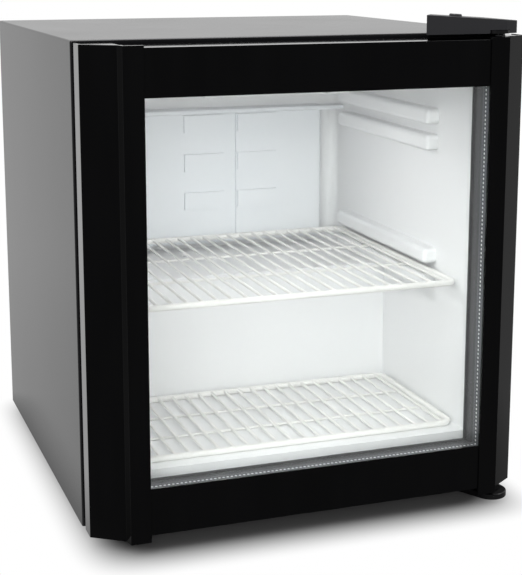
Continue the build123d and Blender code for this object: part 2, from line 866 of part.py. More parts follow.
# Drip tray held on the compressor, under the drain
with BuildPart() as drip_tray:
    tray_z = comp_top + sheet_t
    block(
        (comp_x - tray_w / 2, comp_x + tray_w / 2),
        (comp_y - tray_d / 2, comp_y + tray_d / 2),
        (tray_z, tray_z + tray_h),
    )
    fillet(edges().filter_by(Axis.Z), grommet_r)
    block(
        (comp_x - tray_w / 2 + 2 * tray_t, comp_x + tray_w / 2 - 2 * tray_t),
        (comp_y - tray_d / 2 + 2 * tray_t, comp_y + tray_d / 2 - 2 * tray_t),
        (tray_z + tray_t, tray_z + tray_h),
        Mode.SUBTRACT,
    )
    upright((comp_x, comp_y, comp_top), grommet_r, sheet_t)
drip_tray.part.label = "drip_tray"
export_step(drip_tray.part, "parts/drip_tray.step")

# Drain tube from the hump to the drip tray
with BuildPart() as drain_tube:
    drain_low = tray_z + tray_h / 2
    upright((drain_x, drain_y, drain_low), drain_r, hump_top - liner_t - drain_low)
    upright((drain_x, drain_y, drain_low), drain_bore, hump_top - drain_low, Mode.SUBTRACT)
drain_tube.part.label = "drain_tube"
export_step(drain_tube.part, "parts/drain_tube.step")

# Pipework in the machine bay
pipe_low = comp_floor + comp_h / 4
shell_end = comp_x - comp_w / 2 + bolt_head_r
coil_end = -condenser_half - condenser_pitch / 2
with BuildPart() as discharge_pipe:
    pipe(
        [
            (shell_end + 2 * pipe_bend, comp_y, pipe_low),
            (coil_end, comp_y, pipe_low),
            (coil_end, coil_y, pipe_low),
            (coil_end, coil_y, condenser_bottom - condenser_pitch / 2),
        ],
        pipe_r,
    )
    add(compressor_shell.part, mode=Mode.SUBTRACT)
discharge_pipe.part.label = "discharge_pipe"
export_step(discharge_pipe.part, "parts/discharge_pipe.step")

with BuildPart() as suction_pipe:
    pipe(
        [
            (shell_end + 2 * pipe_bend, comp_y - 2 * pipe_bend, pipe_low + 2 * pipe_bend),
            (coil_end + 2 * pipe_bend, comp_y - 2 * pipe_bend, pipe_low + 2 * pipe_bend),
            (coil_end + 2 * pipe_bend, comp_y - 2 * pipe_bend, bay_top),
        ],
        pipe_r,
    )
    add(compressor_shell.part, mode=Mode.SUBTRACT)
suction_pipe.part.label = "suction_pipe"
export_step(suction_pipe.part, "parts/suction_pipe.step")

with BuildPart() as process_pipe:
    pipe(
        [
            (shell_end + 2 * pipe_bend, comp_y + 2 * pipe_bend, pipe_low + 2 * pipe_bend),
            (shell_end - 2 * pipe_bend, comp_y + 2 * pipe_bend, pipe_low + 2 * pipe_bend),
            (shell_end - 2 * pipe_bend, comp_y + 2 * pipe_bend, pipe_low + 5 * pipe_bend),
        ],
        pipe_r,
    )
    add(compressor_shell.part, mode=Mode.SUBTRACT)
process_pipe.part.label = "process_pipe"
export_step(process_pipe.part, "parts/process_pipe.step")

# Drier: copper bottle standing in the bay, fed from the condenser's far end
drier_x = condenser_half + condenser_pitch / 2
drier_y = cab_back - 2 * pipe_bend
drier_top = pipe_low + drier_l
with BuildPart() as filter_drier:
    upright((drier_x, drier_y, pipe_low), drier_r, drier_l)
    fillet(edges().filter_by(GeomType.CIRCLE), drier_r / 2)
filter_drier.part.label = "filter_drier"
export_step(filter_drier.part, "parts/filter_drier.step")

with BuildPart() as capillary_tube:
    capillary_y = bay_front + 2 * pipe_bend
    pipe(
        [
            (drier_x, drier_y, pipe_low),
            (drier_x, drier_y, pipe_low - 2 * pipe_bend),
            (drier_x, capillary_y, pipe_low - 2 * pipe_bend),
            (drier_x, capillary_y, bay_top),
        ],
        capillary_r,
    )
capillary_tube.part.label = "capillary_tube"
export_step(capillary_tube.part, "parts/capillary_tube.step")

# Condenser tube: runs across the back with a return bend at each end, then down to the drier
with BuildPart() as condenser_coil:
    coil_start = condenser_bottom - condenser_pitch / 2
    coil_route = [(coil_end, coil_y, coil_start), (coil_end, coil_y, condenser_bottom)]
    for run in range(condenser_runs):
        run_z = condenser_bottom + condenser_pitch * run
        far_side = condenser_half if run % 2 == 0 else -condenser_half
        last_run = run == condenser_runs - 1
        coil_route.append((drier_x if last_run else far_side, coil_y, run_z))
        if not last_run:
            coil_route.append((far_side, coil_y, run_z + condenser_pitch))
    coil_route.append((drier_x, coil_y, coil_start))
    pipe(coil_route, condenser_tube_r, condenser_bend)
    pipe(
        [
            (drier_x, coil_y, coil_start),
            (drier_x, coil_y, drier_top + 2 * pipe_bend),
            (drier_x, drier_y, drier_top + 2 * pipe_bend),
            (drier_x, drier_y, drier_top),
        ],
        condenser_tube_r,
    )
condenser_coil.part.label = "condenser_coil"
export_step(condenser_coil.part, "parts/condenser_coil.step")

# Condenser wires: welded to both sides of the tube
with BuildPart() as condenser_wires:
    wire_low = condenser_bottom - condenser_wire_over
    wire_high = condenser_bottom + condenser_pitch * (condenser_runs - 1) + condenser_wire_over
    wire_half = condenser_half - condenser_bend
    wire_count = int(wire_half // condenser_wire_pitch)
    wire_offset = condenser_tube_r + condenser_wire_r
    for place in range(-wire_count, wire_count + 1):
        for side in (-1, 1):
            wire(
                (place * condenser_wire_pitch, coil_y + side * wire_offset, wire_low),
                (place * condenser_wire_pitch, coil_y + side * wire_offset, wire_high),
                condenser_wire_r,
            )
condenser_wires.part.label = "condenser_wires"
export_step(condenser_wires.part, "parts/condenser_wires.step")

# Condenser brackets: folded straps between the back panel and the tube
with BuildPart() as condenser_brackets:
    for x, z in arm_places:
        arm_x = x + bracket_arm_w / 2
        block(
            (x - bracket_arm_w / 2, arm_x),
            (cab_back, cab_back + bracket_arm_t),
            (z - bracket_foot_h / 2, z + bracket_foot_h / 2),
        )
        tube_low = z - condenser_tube_r
        block(
            (arm_x - bracket_arm_t, arm_x),
            (cab_back, coil_y),
            (tube_low - bracket_arm_w / 2, tube_low),
        )
        with Locations(Location((x, cab_back, z), (90, 0, 0))):
            Cylinder(screw_r + screw_clear, 4 * bracket_arm_t, mode=Mode.SUBTRACT)
condenser_brackets.part.label = "condenser_brackets"
export_step(condenser_brackets.part, "parts/condenser_brackets.step")

with BuildPart() as condenser_screws:
    for x, z in arm_places:
        seat = cab_back + bracket_arm_t
        with Locations(Location((x, seat + screw_head_h / 2, z), (90, 0, 0))):
            Cylinder(screw_head_r, screw_head_h)
        with Locations(Location((x, seat - screw_bite / 2, z), (90, 0, 0))):
            Cylinder(screw_r, screw_bite)
condenser_screws.part.label = "condenser_screws"
export_step(condenser_screws.part, "parts/condenser_screws.step")

# Mains inlet on an upright plate at the back of the bay
with BuildPart() as inlet_bracket:
    inlet_y = cab_back - inlet_back
    inlet_z = cab_floor + sheet_t + inlet_lift
    plate_side = inlet_w / 2 + inlet_margin
    pan_top = cab_floor + sheet_t
    block(
        (inlet_x - plate_side, inlet_x + plate_side),
        (inlet_y - inlet_plate_t, inlet_y),
        (pan_top, inlet_z + inlet_h + inlet_margin),
    )
    block(
        (inlet_x - plate_side, inlet_x + plate_side),
        (inlet_y - inlet_d, inlet_y),
        (pan_top, pan_top + inlet_plate_t),
    )
    block(
        (inlet_x - inlet_w / 2 - screw_clear, inlet_x + inlet_w / 2 + screw_clear),
        (inlet_y - 2 * inlet_plate_t, inlet_y + inlet_plate_t),
        (inlet_z - screw_clear, inlet_z + inlet_h + screw_clear),
        Mode.SUBTRACT,
    )
inlet_bracket.part.label = "inlet_bracket"
export_step(inlet_bracket.part, "parts/inlet_bracket.step")

with BuildPart() as mains_inlet:
    block(
        (inlet_x - inlet_w / 2, inlet_x + inlet_w / 2),
        (inlet_y - inlet_d, inlet_y),
        (inlet_z, inlet_z + inlet_h),
    )
    block(
        (inlet_x - inlet_w / 2 - inlet_plate_t, inlet_x + inlet_w / 2 + inlet_plate_t),
        (inlet_y, inlet_y + inlet_plate_t),
        (inlet_z - inlet_plate_t, inlet_z + inlet_h + inlet_plate_t),
    )
    inlet_mid = inlet_z + inlet_h / 2
    block(
        (inlet_x - socket_w / 2, inlet_x + socket_w / 2),
        (inlet_y + inlet_plate_t - socket_depth, inlet_y + inlet_plate_t),
        (inlet_mid - socket_h / 2, inlet_mid + socket_h / 2),
        Mode.SUBTRACT,
    )
    for place in (-1, 0, 1):
        blade_x = inlet_x + place * blade_pitch
        block(
            (blade_x - blade_w / 2, blade_x + blade_w / 2),
            (inlet_y + inlet_plate_t - socket_depth, inlet_y),
            (inlet_mid - blade_h / 2, inlet_mid + blade_h / 2),
        )
mains_inlet.part.label = "mains_inlet"
export_step(mains_inlet.part, "parts/mains_inlet.step")

# Top hinge: plate on the cabinet with a pin pointing down into the door
pin_top = cab_top - door_drop - cap_recess - cap_t + pin_end_gap
with BuildPart() as top_hinge_bracket:
    with BuildSketch(Plane.XY.offset(cab_top)):
        with Locations((hinge_x, hinge_y)):
            Circle(hinge_nose_r)
        with Locations((top_plate_x, cab_front + hinge_plate_d / 2)):
            Rectangle(hinge_plate_w, hinge_plate_d)
        make_hull()
    extrude(amount=hinge_plate_t)
    for place in top_screw_places:
        upright((*place, cab_top), screw_r + screw_clear, hinge_plate_t, Mode.SUBTRACT)
    upright((hinge_x, hinge_y, pin_top), pin_r, cab_top - pin_top)
top_hinge_bracket.part.label = "top_hinge_bracket"
export_step(top_hinge_bracket.part, "parts/top_hinge_bracket.step")

with BuildPart() as top_hinge_screws:
    for place in top_screw_places:
        panhead((*place, cab_top + hinge_plate_t))
top_hinge_screws.part.label = "top_hinge_screws"
export_step(top_hinge_screws.part, "parts/top_hinge_screws.step")

# Plan and sloping roof of the hinge cover: slanted at the inner end, with a shallow facet at the outer corner
cover_plan = [
    (cover_left, cover_front),
    (cover_right - facet_w, cover_front),
    (cover_right, cover_front + facet_d),
    (cover_right, cover_back),
    (cover_left + cover_slant, cover_back),
]
roof_slope = (cover_left_h - cover_right_h) / cover_w
cap_x = cover_left + cap_inset
cap_z = cab_top + cover_left_h - cap_inset * roof_slope
roof = Plane((cap_x, cover_front + cap_back, cap_z), x_dir=(1, 0, -roof_slope), z_dir=(roof_slope, 0, 1))

# Space inside the hinge cover, used to hollow it
with BuildPart() as cover_space:
    with BuildSketch(Plane.XY.offset(cab_top)):
        with BuildLine():
            Polyline(*cover_plan, close=True)
        make_face()
        offset(amount=-cover_t, kind=Kind.INTERSECTION, mode=Mode.REPLACE)
    extrude(amount=cover_left_h)
    split(bisect_by=roof.offset(-cover_t), keep=Keep.BOTTOM)

# Hinge cover: hollow moulding over the top hinge plate
with BuildPart() as hinge_cover:
    with BuildSketch(Plane.XY.offset(cab_top)):
        with BuildLine():
            Polyline(*cover_plan, close=True)
        make_face()
    extrude(amount=2 * cover_left_h)
    split(bisect_by=roof, keep=Keep.BOTTOM)
    fillet(faces().sort_by(Axis.Z)[-1].edges(), profile_r)
    add(cover_space.part, mode=Mode.SUBTRACT)
    block(
        (hinge_x - hinge_nose_r - cover_slot_clear, hinge_x + hinge_nose_r + seat_clear),
        (cover_front - cover_t, cover_front + 2 * cover_t),
        (cab_top, cab_top + hinge_plate_t + seat_clear),
        Mode.SUBTRACT,
    )
    with BuildSketch(roof):
        Circle(cap_stem_r + screw_clear)
    extrude(amount=-2 * cover_t, mode=Mode.SUBTRACT)
hinge_cover.part.label = "hinge_cover"
export_step(hinge_cover.part, "parts/hinge_cover.step")

# Screw cap pressed into the roof of the hinge cover
with BuildPart() as hinge_cover_cap:
    with BuildSketch(roof):
        Circle(cap_head_r)
    extrude(amount=cap_head_h)
    fillet(faces().sort_by(Axis.Z)[-1].edges(), cap_head_h / 2)
    with BuildSketch(roof):
        Circle(cap_stem_r)
    extrude(amount=-2 * cover_t)
hinge_cover_cap.part.label = "hinge_cover_cap"
export_step(hinge_cover_cap.part, "parts/hinge_cover_cap.step")

# Bottom hinge: thick plate under the base pan with a rounded nose and a pin pointing up
with BuildPart() as bottom_hinge_bracket:
    with BuildSketch(Plane.XY.offset(cab_floor - bracket_t)):
        with Locations((half_w - bracket_nose_inset, cab_front - bracket_nose_reach)):
            Circle(bracket_nose_r)
        with Locations((bracket_x, cab_front + bracket_d / 2)):
            Rectangle(bracket_w, bracket_d)
        make_hull()
    extrude(amount=bracket_t)
    fillet(faces().sort_by(Axis.Z)[-1].edges() + faces().sort_by(Axis.Z)[0].edges(), sheet_t)
    pin_bottom_end = stile_bottom + cap_recess + cap_t - pin_end_gap
    upright((hinge_x, hinge_y, cab_floor), pin_r, pin_bottom_end - cab_floor)
    for place in bottom_screw_places:
        upright((*place, cab_floor - bracket_t), screw_r + screw_clear, bracket_t, Mode.SUBTRACT)
        upright((*place, cab_floor - bracket_t), screw_head_r + screw_clear, screw_head_h, Mode.SUBTRACT)
bottom_hinge_bracket.part.label = "bottom_hinge_bracket"
export_step(bottom_hinge_bracket.part, "parts/bottom_hinge_bracket.step")

# Bottom hinge screws, driven up through the bracket and sunk into it
with BuildPart() as bottom_hinge_screws:
    for place in bottom_screw_places:
        upright((*place, cab_floor - bracket_t), screw_head_r, screw_head_h)
        upright((*place, cab_floor - bracket_t), screw_r, bracket_t + screw_bite)
bottom_hinge_screws.part.label = "bottom_hinge_screws"
export_step(bottom_hinge_screws.part, "parts/bottom_hinge_screws.step")

# Nylon washer between the bottom bracket and the door
with BuildPart() as hinge_washer:
    upright((hinge_x, hinge_y, cab_floor), washer_r, door_lift - bush_play)
    upright((hinge_x, hinge_y, cab_floor), pin_r + pin_clear, door_lift, Mode.SUBTRACT)
hinge_washer.part.label = "hinge_washer"
export_step(hinge_washer.part, "parts/hinge_washer.step")

# Depth of the inside of the stile's slanted wall at a distance from the middle of the door
chamfer_slope = chamfer_d / chamfer_w


def slant_inside(x):
    """Inner face of the slanted wall, from front to back."""
    return side_front - (half_w - x) * chamfer_slope + profile_t * hypot(1, chamfer_slope)


stile_outline = [
    (half_w - profile_t, door_back - corner_cut + profile_t),
    (half_w, door_back - corner_cut),
    (half_w, side_front),
    (chamfer_x, chamfer_front),
    (strip_x, strip_front),
    (opening_half, strip_front),
    (opening_half, glass_front),
    (channel_x, glass_front),
    (channel_x, slant_inside(channel_x)),
    (half_w - profile_t, slant_inside(half_w - profile_t)),
]
cap_inner = channel_x + fit_clear
cap_outer = half_w - profile_t - fit_clear
cap_outline = [
    (cap_inner, slant_inside(cap_inner) + fit_clear),
    (cap_outer, slant_inside(cap_outer) + fit_clear),
    (cap_outer, door_back - corner_cut + profile_t),
    (cap_inner, door_back - corner_cut + profile_t),
]
cap_floors = (stile_bottom + cap_recess, stile_top - cap_recess - cap_t)

# Door stiles: gloss profiles with a side wall, a slanted wall and a raised strip over the glass edge
for side_name, side in (("left", -1), ("right", 1)):
    with BuildPart() as stile:
        with BuildSketch(Plane.XY.offset(stile_bottom)):
            with BuildLine():
                FilletPolyline(*[(side * x, y) for x, y in stile_outline], radius=profile_r, close=True)
            make_face()
        extrude(amount=stile_top - stile_bottom)
    stile.part.label = f"{side_name}_stile"
    export_step(stile.part, f"parts/{side_name}_stile.step")

# Stile end caps, set a little below the ends; the hinge side takes the bushes
with BuildPart() as stile_end_caps:
    for side in (-1, 1):
        for floor in cap_floors:
            with BuildSketch(Plane.XY.offset(floor)):
                with BuildLine():
                    Polyline(*[(side * x, y) for x, y in cap_outline], close=True)
                make_face()
            extrude(amount=cap_t)
    for floor in cap_floors:
        upright((hinge_x, hinge_y, floor), bush_r + pin_clear, cap_t, Mode.SUBTRACT)
stile_end_caps.part.label = "stile_end_caps"
export_step(stile_end_caps.part, "parts/stile_end_caps.step")

with BuildPart() as hinge_bushes:
    for floor in (stile_bottom, cap_floors[1]):
        upright((hinge_x, hinge_y, floor), bush_r, cap_t + cap_recess)
        upright((hinge_x, hinge_y, floor), pin_r + pin_clear, cap_t + cap_recess, Mode.SUBTRACT)
hinge_bushes.part.label = "hinge_bushes"
export_step(hinge_bushes.part, "parts/hinge_bushes.step")

# Door rails: angle profiles between the stiles, with a ledge at the edge of the glass
rail_half = opening_half - fit_clear / 2
ledge_half = channel_x - fit_clear - profile_r
for rail_name, outer, inner, skin_low, ledge_low in (
    ("bottom", rail_bottom, opening_bottom, rail_bottom, pane_bottom - pane_clear - profile_t),
    ("top", rail_top, opening_top, rail_top - profile_t, pane_top + pane_clear),
):
    with BuildPart() as rail:
        block((-rail_half, rail_half), (rail_front, glass_front), (min(outer, inner), max(outer, inner)))
        fillet(faces().sort_by(Axis.Y)[0].edges().filter_by(Axis.X), profile_r)
        block((-ledge_half, ledge_half), (glass_front, door_back), (skin_low, skin_low + profile_t))
        block((-ledge_half, ledge_half), (glass_front, glass_back), (ledge_low, ledge_low + profile_t))
    rail.part.label = f"{rail_name}_rail"
    export_step(rail.part, f"parts/{rail_name}_rail.step")

# Inner door frame: clamps the glass from behind and carries the gasket
with BuildPart() as door_inner_frame:
    frame_low = cap_floors[0] + cap_t + fit_clear
    frame_high = cap_floors[1] - fit_clear
    frame_out = half_w - profile_t - fit_clear
    wide_front = side_front + profile_t
    block((-frame_out, frame_out), (wide_front, door_back), (frame_low, frame_high))
    block((frame_step - frame_out, frame_out - frame_step), (glass_back, wide_front), (frame_low, frame_high))
    block((-frame_half, frame_half), (glass_back, door_back), (frame_bottom, frame_top), Mode.SUBTRACT)
    fillet(faces().sort_by(Axis.Y)[-1].edges().filter_by(Axis.Z).group_by(SortBy.LENGTH)[0], profile_r)
door_inner_frame.part.label = "door_inner_frame"
export_step(door_inner_frame.part, "parts/door_inner_frame.step")

# Double glazing: two panes, a spacer bar and the sealant round it
outer_face = glass_front + pane_play
gap_front = outer_face + pane_t
gap_back = gap_front + pane_gap
for pane_name, pane_y in (("outer", outer_face), ("inner", gap_back)):
    with BuildPart() as pane:
        block((-pane_half, pane_half), (pane_y, pane_y + pane_t), (pane_bottom, pane_top))
    pane.part.label = f"{pane_name}_pane"
    export_step(pane.part, f"parts/{pane_name}_pane.step")

spacer_half = opening_half + spacer_inset
spacer_low = opening_bottom - spacer_inset
spacer_high = opening_top + spacer_inset
with BuildPart() as glass_spacer:
    ring(spacer_half, spacer_low, spacer_high, spacer_w, gap_front, gap_back)
glass_spacer.part.label = "glass_spacer"
export_step(glass_spacer.part, "parts/glass_spacer.step")

with BuildPart() as glass_sealant:
    ring(
        spacer_half + spacer_w,
        spacer_low - spacer_w,
        spacer_high + spacer_w,
        glass_bite - spacer_inset - spacer_w - sealant_inset,
        gap_front,
        gap_back,
    )
glass_sealant.part.label = "glass_sealant"
export_step(glass_sealant.part, "parts/glass_sealant.step")

# Gasket: base, folded neck and hollow head that holds the magnets
gasket_face = cab_front - gasket_clear
head_back = gasket_face - gasket_head_t
neck_in = (gasket_w - gasket_neck_w) / 2
magnet_in = (gasket_w - magnet_w) / 2
magnet_y = (head_back + gasket_face - magnet_t) / 2
with BuildPart() as door_gasket:
    ring(frame_half, frame_bottom, frame_top, gasket_w, door_back, door_back + gasket_base_t)
    ring(
        frame_half + neck_in,
        frame_bottom - neck_in,
        frame_top + neck_in,
        gasket_neck_w,
        door_back + gasket_base_t,
        head_back,
    )
    ring(frame_half, frame_bottom, frame_top, gasket_w, head_back, gasket_face)
    ring(
        frame_half + magnet_in - magnet_clear,
        frame_bottom - magnet_in + magnet_clear,
        frame_top + magnet_in - magnet_clear,
        magnet_w + 2 * magnet_clear,
        magnet_y - magnet_clear,
        magnet_y + magnet_t + magnet_clear,
        Mode.SUBTRACT,
    )
door_gasket.part.label = "door_gasket"
export_step(door_gasket.part, "parts/door_gasket.step")

# Magnet strips inside the gasket head, one a side
with BuildPart() as gasket_magnets:
    magnet_depth = (magnet_y, magnet_y + magnet_t)
    side_low = frame_bottom - magnet_in
    side_high = frame_top + magnet_in
    for side in (-1, 1):
        near = side * (frame_half + magnet_in)
        far = near + side * magnet_w
        block((min(near, far), max(near, far)), magnet_depth, (side_low - magnet_w, side_high + magnet_w))
    for low in (side_low - magnet_w, side_high):
        reach = frame_half + magnet_in - magnet_clear
        block((-reach, reach), magnet_depth, (low, low + magnet_w))
gasket_magnets.part.label = "gasket_magnets"
export_step(gasket_magnets.part, "parts/gasket_magnets.step")
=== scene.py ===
import math

import bpy
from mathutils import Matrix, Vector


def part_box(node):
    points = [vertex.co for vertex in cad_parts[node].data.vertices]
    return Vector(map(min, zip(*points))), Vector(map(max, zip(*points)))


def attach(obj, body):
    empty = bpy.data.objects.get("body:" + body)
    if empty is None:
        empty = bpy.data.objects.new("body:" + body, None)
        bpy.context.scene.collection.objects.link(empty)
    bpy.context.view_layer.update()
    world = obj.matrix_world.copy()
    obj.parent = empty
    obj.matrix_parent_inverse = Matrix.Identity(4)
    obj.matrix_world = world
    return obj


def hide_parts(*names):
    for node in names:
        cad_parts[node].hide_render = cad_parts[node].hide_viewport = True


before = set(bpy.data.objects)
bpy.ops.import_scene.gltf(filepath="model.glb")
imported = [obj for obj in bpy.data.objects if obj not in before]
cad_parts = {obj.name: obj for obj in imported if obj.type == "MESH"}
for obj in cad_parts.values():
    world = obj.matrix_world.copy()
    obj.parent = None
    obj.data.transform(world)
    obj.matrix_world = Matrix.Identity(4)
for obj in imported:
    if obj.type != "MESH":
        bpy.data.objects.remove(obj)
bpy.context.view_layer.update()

# Cabinet wrap: one steel sheet bent into the top and both sides, with a narrow return round the front.
# It is stoved in black enamel, which shows a fine orange peel and mirrors the room at a low angle.


class Shade:
    """A value in a finish's nodes. Sums and products of values add Math nodes."""

    def __init__(self, tree, socket=None):
        self.tree = tree
        self.socket = socket

    def feed(self, target, value):
        """Links a value to a socket, or sets the socket to a plain number or colour."""
        if isinstance(value, Shade):
            self.tree.links.new(value.socket, target)
        else:
            target.default_value = value

    def node(self, kind, settings, inputs, output=0):
        """Adds one node: its settings first, then the values or links of its sockets."""
        made = self.tree.nodes.new(kind)
        for name, value in settings.items():
            setattr(made, name, value)
        for name, value in inputs.items():
            self.feed(made.inputs[name], value)
        return Shade(self.tree, made.outputs[output])

    def maths(self, operation, first, second=0.0):
        """Adds one Math node."""
        return self.node("ShaderNodeMath", {"operation": operation}, {0: first, 1: second})

    def __add__(self, other):
        return self.maths("ADD", self, other)

    def __sub__(self, other):
        return self.maths("SUBTRACT", self, other)

    def __rsub__(self, other):
        return self.maths("SUBTRACT", other, self)

    def __mul__(self, other):
        return self.maths("MULTIPLY", self, other)

    def __truediv__(self, other):
        return self.maths("DIVIDE", self, other)

    def __pow__(self, other):
        return self.maths("POWER", self, other)

    def __abs__(self):
        return self.maths("ABSOLUTE", self)

    __radd__ = __add__
    __rmul__ = __mul__

    def most(self, *others):
        """The largest of this value and others."""
        largest = self
        for other in others:
            largest = self.maths("MAXIMUM", largest, other)
        return largest

    def axis(self, letter):
        """One coordinate of a place."""
        return self.node("ShaderNodeSeparateXYZ", {}, {0: self}, letter)

    def rise(self, low, high):
        """Goes smoothly from 0 at low to 1 at high."""
        limits = {"Value": self, "From Min": low, "From Max": high}
        return self.node("ShaderNodeMapRange", {"interpolation_type": "SMOOTHSTEP"}, limits)

    def mix(self, low, high):
        """Colour from low to high, with this value as the share of high."""
        return self.node("ShaderNodeMix", {"data_type": "RGBA"}, {0: self, 6: low, 7: high}, 2)

    def noise(self, scale, detail=2.0):
        """Cloudy noise at this place, with a grain of one metre divided by scale."""
        return self.node("ShaderNodeTexNoise", {}, {"Vector": self, "Scale": scale, "Detail": detail}, 0)

    def bump(self, strength, depth):
        """Surface normal for this value taken as a height."""
        return self.node("ShaderNodeBump", {}, {"Height": self, "Strength": strength, "Distance": depth})


def finish(name, fixed):
    """A new material with its plain values set, its shader's sockets, and the place on the piece."""
    material = bpy.data.materials.new(name)
    material.use_nodes = True
    tree = material.node_tree
    shader = tree.nodes["Principled BSDF"]
    for socket, value in fixed.items():
        shader.inputs[socket].default_value = value
    place = Shade(tree).node("ShaderNodeTexCoord", {}, {}, "Object")
    return material, shader.inputs, place


def dress(material, *nodes):
    """Puts a finish on CAD nodes."""
    for node in nodes:
        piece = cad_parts[node]
        piece.data.materials.clear()
        piece.data.materials.append(material)


enamel_deep = (0.0045, 0.0045, 0.0052, 1)
enamel_pale = (0.0075, 0.0075, 0.0084, 1)
enamel, enamel_sockets, place = finish("black_enamel", {"IOR": 1.5})
cloud = place.noise(scale=7.0, detail=3.0)
peel = place.noise(scale=650.0, detail=1.0)
place.feed(enamel_sockets["Base Color"], cloud.mix(enamel_deep, enamel_pale))
place.feed(enamel_sockets["Roughness"], 0.11 + 0.06 * cloud)
place.feed(enamel_sockets["Normal"], peel.bump(strength=0.05, depth=0.0002))
dress(enamel, "cabinet_wrap")

# Base pan and back panel: galvanised sheet, folded and cut to size, closing the cabinet below and behind.
# The zinc has a faint spangle of flat crystals and dulls to a matt grey.
# Small brackets and the compressor's base are cut from the same sheet.
zinc_dull = (0.42, 0.43, 0.45, 1)
zinc_bright = (0.62, 0.63, 0.64, 1)
zinc, zinc_sockets, place = finish("galvanised_sheet", {"Metallic": 1.0})
crystal = place.node("ShaderNodeTexVoronoi", {}, {"Vector": place, "Scale": 110.0}, "Color").axis("X")
dulled = place.noise(scale=14.0, detail=4.0)
spangle = 0.7 * crystal + 0.3 * dulled
place.feed(zinc_sockets["Base Color"], spangle.mix(zinc_dull, zinc_bright))
place.feed(zinc_sockets["Roughness"], 0.34 + 0.14 * crystal + 0.12 * dulled)
dress(zinc, "base_pan", "back_panel", "inlet_bracket", "condenser_brackets", "compressor_base")

# Foam: two liquids poured between the wrap and the liner, where they swell, set and bond the skins.
# Its closed cells are cream coloured. Nothing of it shows once the cabinet is shut.
foam_shaded = (0.72, 0.62, 0.38, 1)
foam_lit = (0.85, 0.77, 0.52, 1)
foam, foam_sockets, place = finish("rigid_foam", {"Roughness": 0.9})
cells = place.node("ShaderNodeTexVoronoi", {}, {"Vector": place, "Scale": 700.0})
place.feed(foam_sockets["Base Color"], cells.mix(foam_shaded, foam_lit))
place.feed(foam_sockets["Normal"], cells.bump(strength=0.4, depth=0.0006))
dress(foam, "insulation_foam")

# Inner liner: a tub drawn from one white polystyrene sheet, with the shelf ribs and the hump moulded in.
# The sheet keeps a satin skin that is a little uneven where it was stretched.
liner_thin = (0.82, 0.825, 0.835, 1)
liner_full = (0.86, 0.86, 0.865, 1)
liner, liner_sockets, place = finish("white_liner", {})
stretch = place.noise(scale=9.0)
skin = place.noise(scale=420.0)
place.feed(liner_sockets["Base Color"], stretch.mix(liner_thin, liner_full))
place.feed(liner_sockets["Roughness"], 0.30 + 0.10 * stretch)
place.feed(liner_sockets["Normal"], skin.bump(strength=0.06, depth=0.0003))
dress(liner, "inner_liner")

# Evaporator: two aluminium sheets rolled into one plate, with the refrigerant's channel between them.
# It lies against the back of the liner, held by the foam. The rolling leaves fine streaks.
rolled_grey = (0.70, 0.71, 0.72, 1)
rolled_bright = (0.82, 0.83, 0.84, 1)
streak_shape = (1.0, 1.0, 40.0)
rolled, rolled_sockets, place = finish("rolled_aluminium", {"Metallic": 1.0})
drawn_out = place.node("ShaderNodeMapping", {}, {"Vector": place, "Scale": streak_shape})
streak = drawn_out.noise(scale=30.0, detail=3.0)
place.feed(rolled_sockets["Base Color"], streak.mix(rolled_grey, rolled_bright))
place.feed(rolled_sockets["Roughness"], 0.28 + 0.2 * streak)
dress(rolled, "evaporator_plate")

# Back wall panel: white polystyrene with a cable groove and raised pads, clipped over the evaporator.
# It gathers a trace of frost haze, a cooler white than the liner.
panel_cool = (0.74, 0.77, 0.80, 1)
panel_white = (0.80, 0.82, 0.84, 1)
panel, panel_sockets, place = finish("back_wall_panel", {})
haze = place.noise(scale=16.0, detail=4.0)
place.feed(panel_sockets["Base Color"], haze.mix(panel_cool, panel_white))
place.feed(panel_sockets["Roughness"], 0.38 + 0.16 * haze)
place.feed(panel_sockets["Normal"], place.noise(scale=500.0).bump(strength=0.08, depth=0.0003))
dress(panel, "evaporator_cover")

# Control box: white moulded housing under the ceiling, with a spark-eroded texture.
# The thermostat, the rocker and the lamp are let into it. The rear feet are of the same plastic.
moulded_shaded = (0.78, 0.79, 0.80, 1)
moulded_lit = (0.83, 0.84, 0.85, 1)
moulded, moulded_sockets, place = finish("moulded_white", {})
spark = place.noise(scale=1500.0)
place.feed(moulded_sockets["Base Color"], spark.mix(moulded_shaded, moulded_lit))
place.feed(moulded_sockets["Roughness"], 0.42 + 0.12 * spark)
place.feed(moulded_sockets["Normal"], spark.bump(strength=0.15, depth=0.0002))
dress(moulded, "control_housing", "rear_feet")

# Thermostat knob and light switch: grey mouldings, one pushed on the thermostat's spindle, one clipped in.
# They are worn smoother where fingers turn and press them.
grey_dark = (0.36, 0.37, 0.385, 1)
grey_pale = (0.44, 0.45, 0.46, 1)
grey, grey_sockets, place = finish("moulded_grey", {})
touch = place.noise(scale=180.0, detail=3.0)
place.feed(grey_sockets["Base Color"], touch.mix(grey_dark, grey_pale))
place.feed(grey_sockets["Roughness"], 0.35 + 0.2 * touch)
place.feed(grey_sockets["Normal"], place.noise(scale=1400.0).bump(strength=0.12, depth=0.0002))
dress(grey, "thermostat_knob", "light_switch")

# Dial marks: short raised bars moulded on the front of the control box round the knob.
# They step from the weakest to the coldest setting over three quarters of a turn.
mark_count = 7
mark_first = math.radians(-135)
mark_step = math.radians(45)
mark_w = 0.0007
mark_l = 0.0008
mark_proud = 0.0004
mark_gap = 0.0004
mark_edge = 0.0002
forwards = Vector((0, -1, 0))
square_on = 0.9
knob_low, knob_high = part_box("thermostat_knob")
housing_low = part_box("control_housing")[0]
knob_r = (knob_high.z - knob_low.z) / 2
knob_axis = Vector(((knob_low.x + knob_high.x) / 2, housing_low.y, (knob_low.z + knob_high.z) / 2))


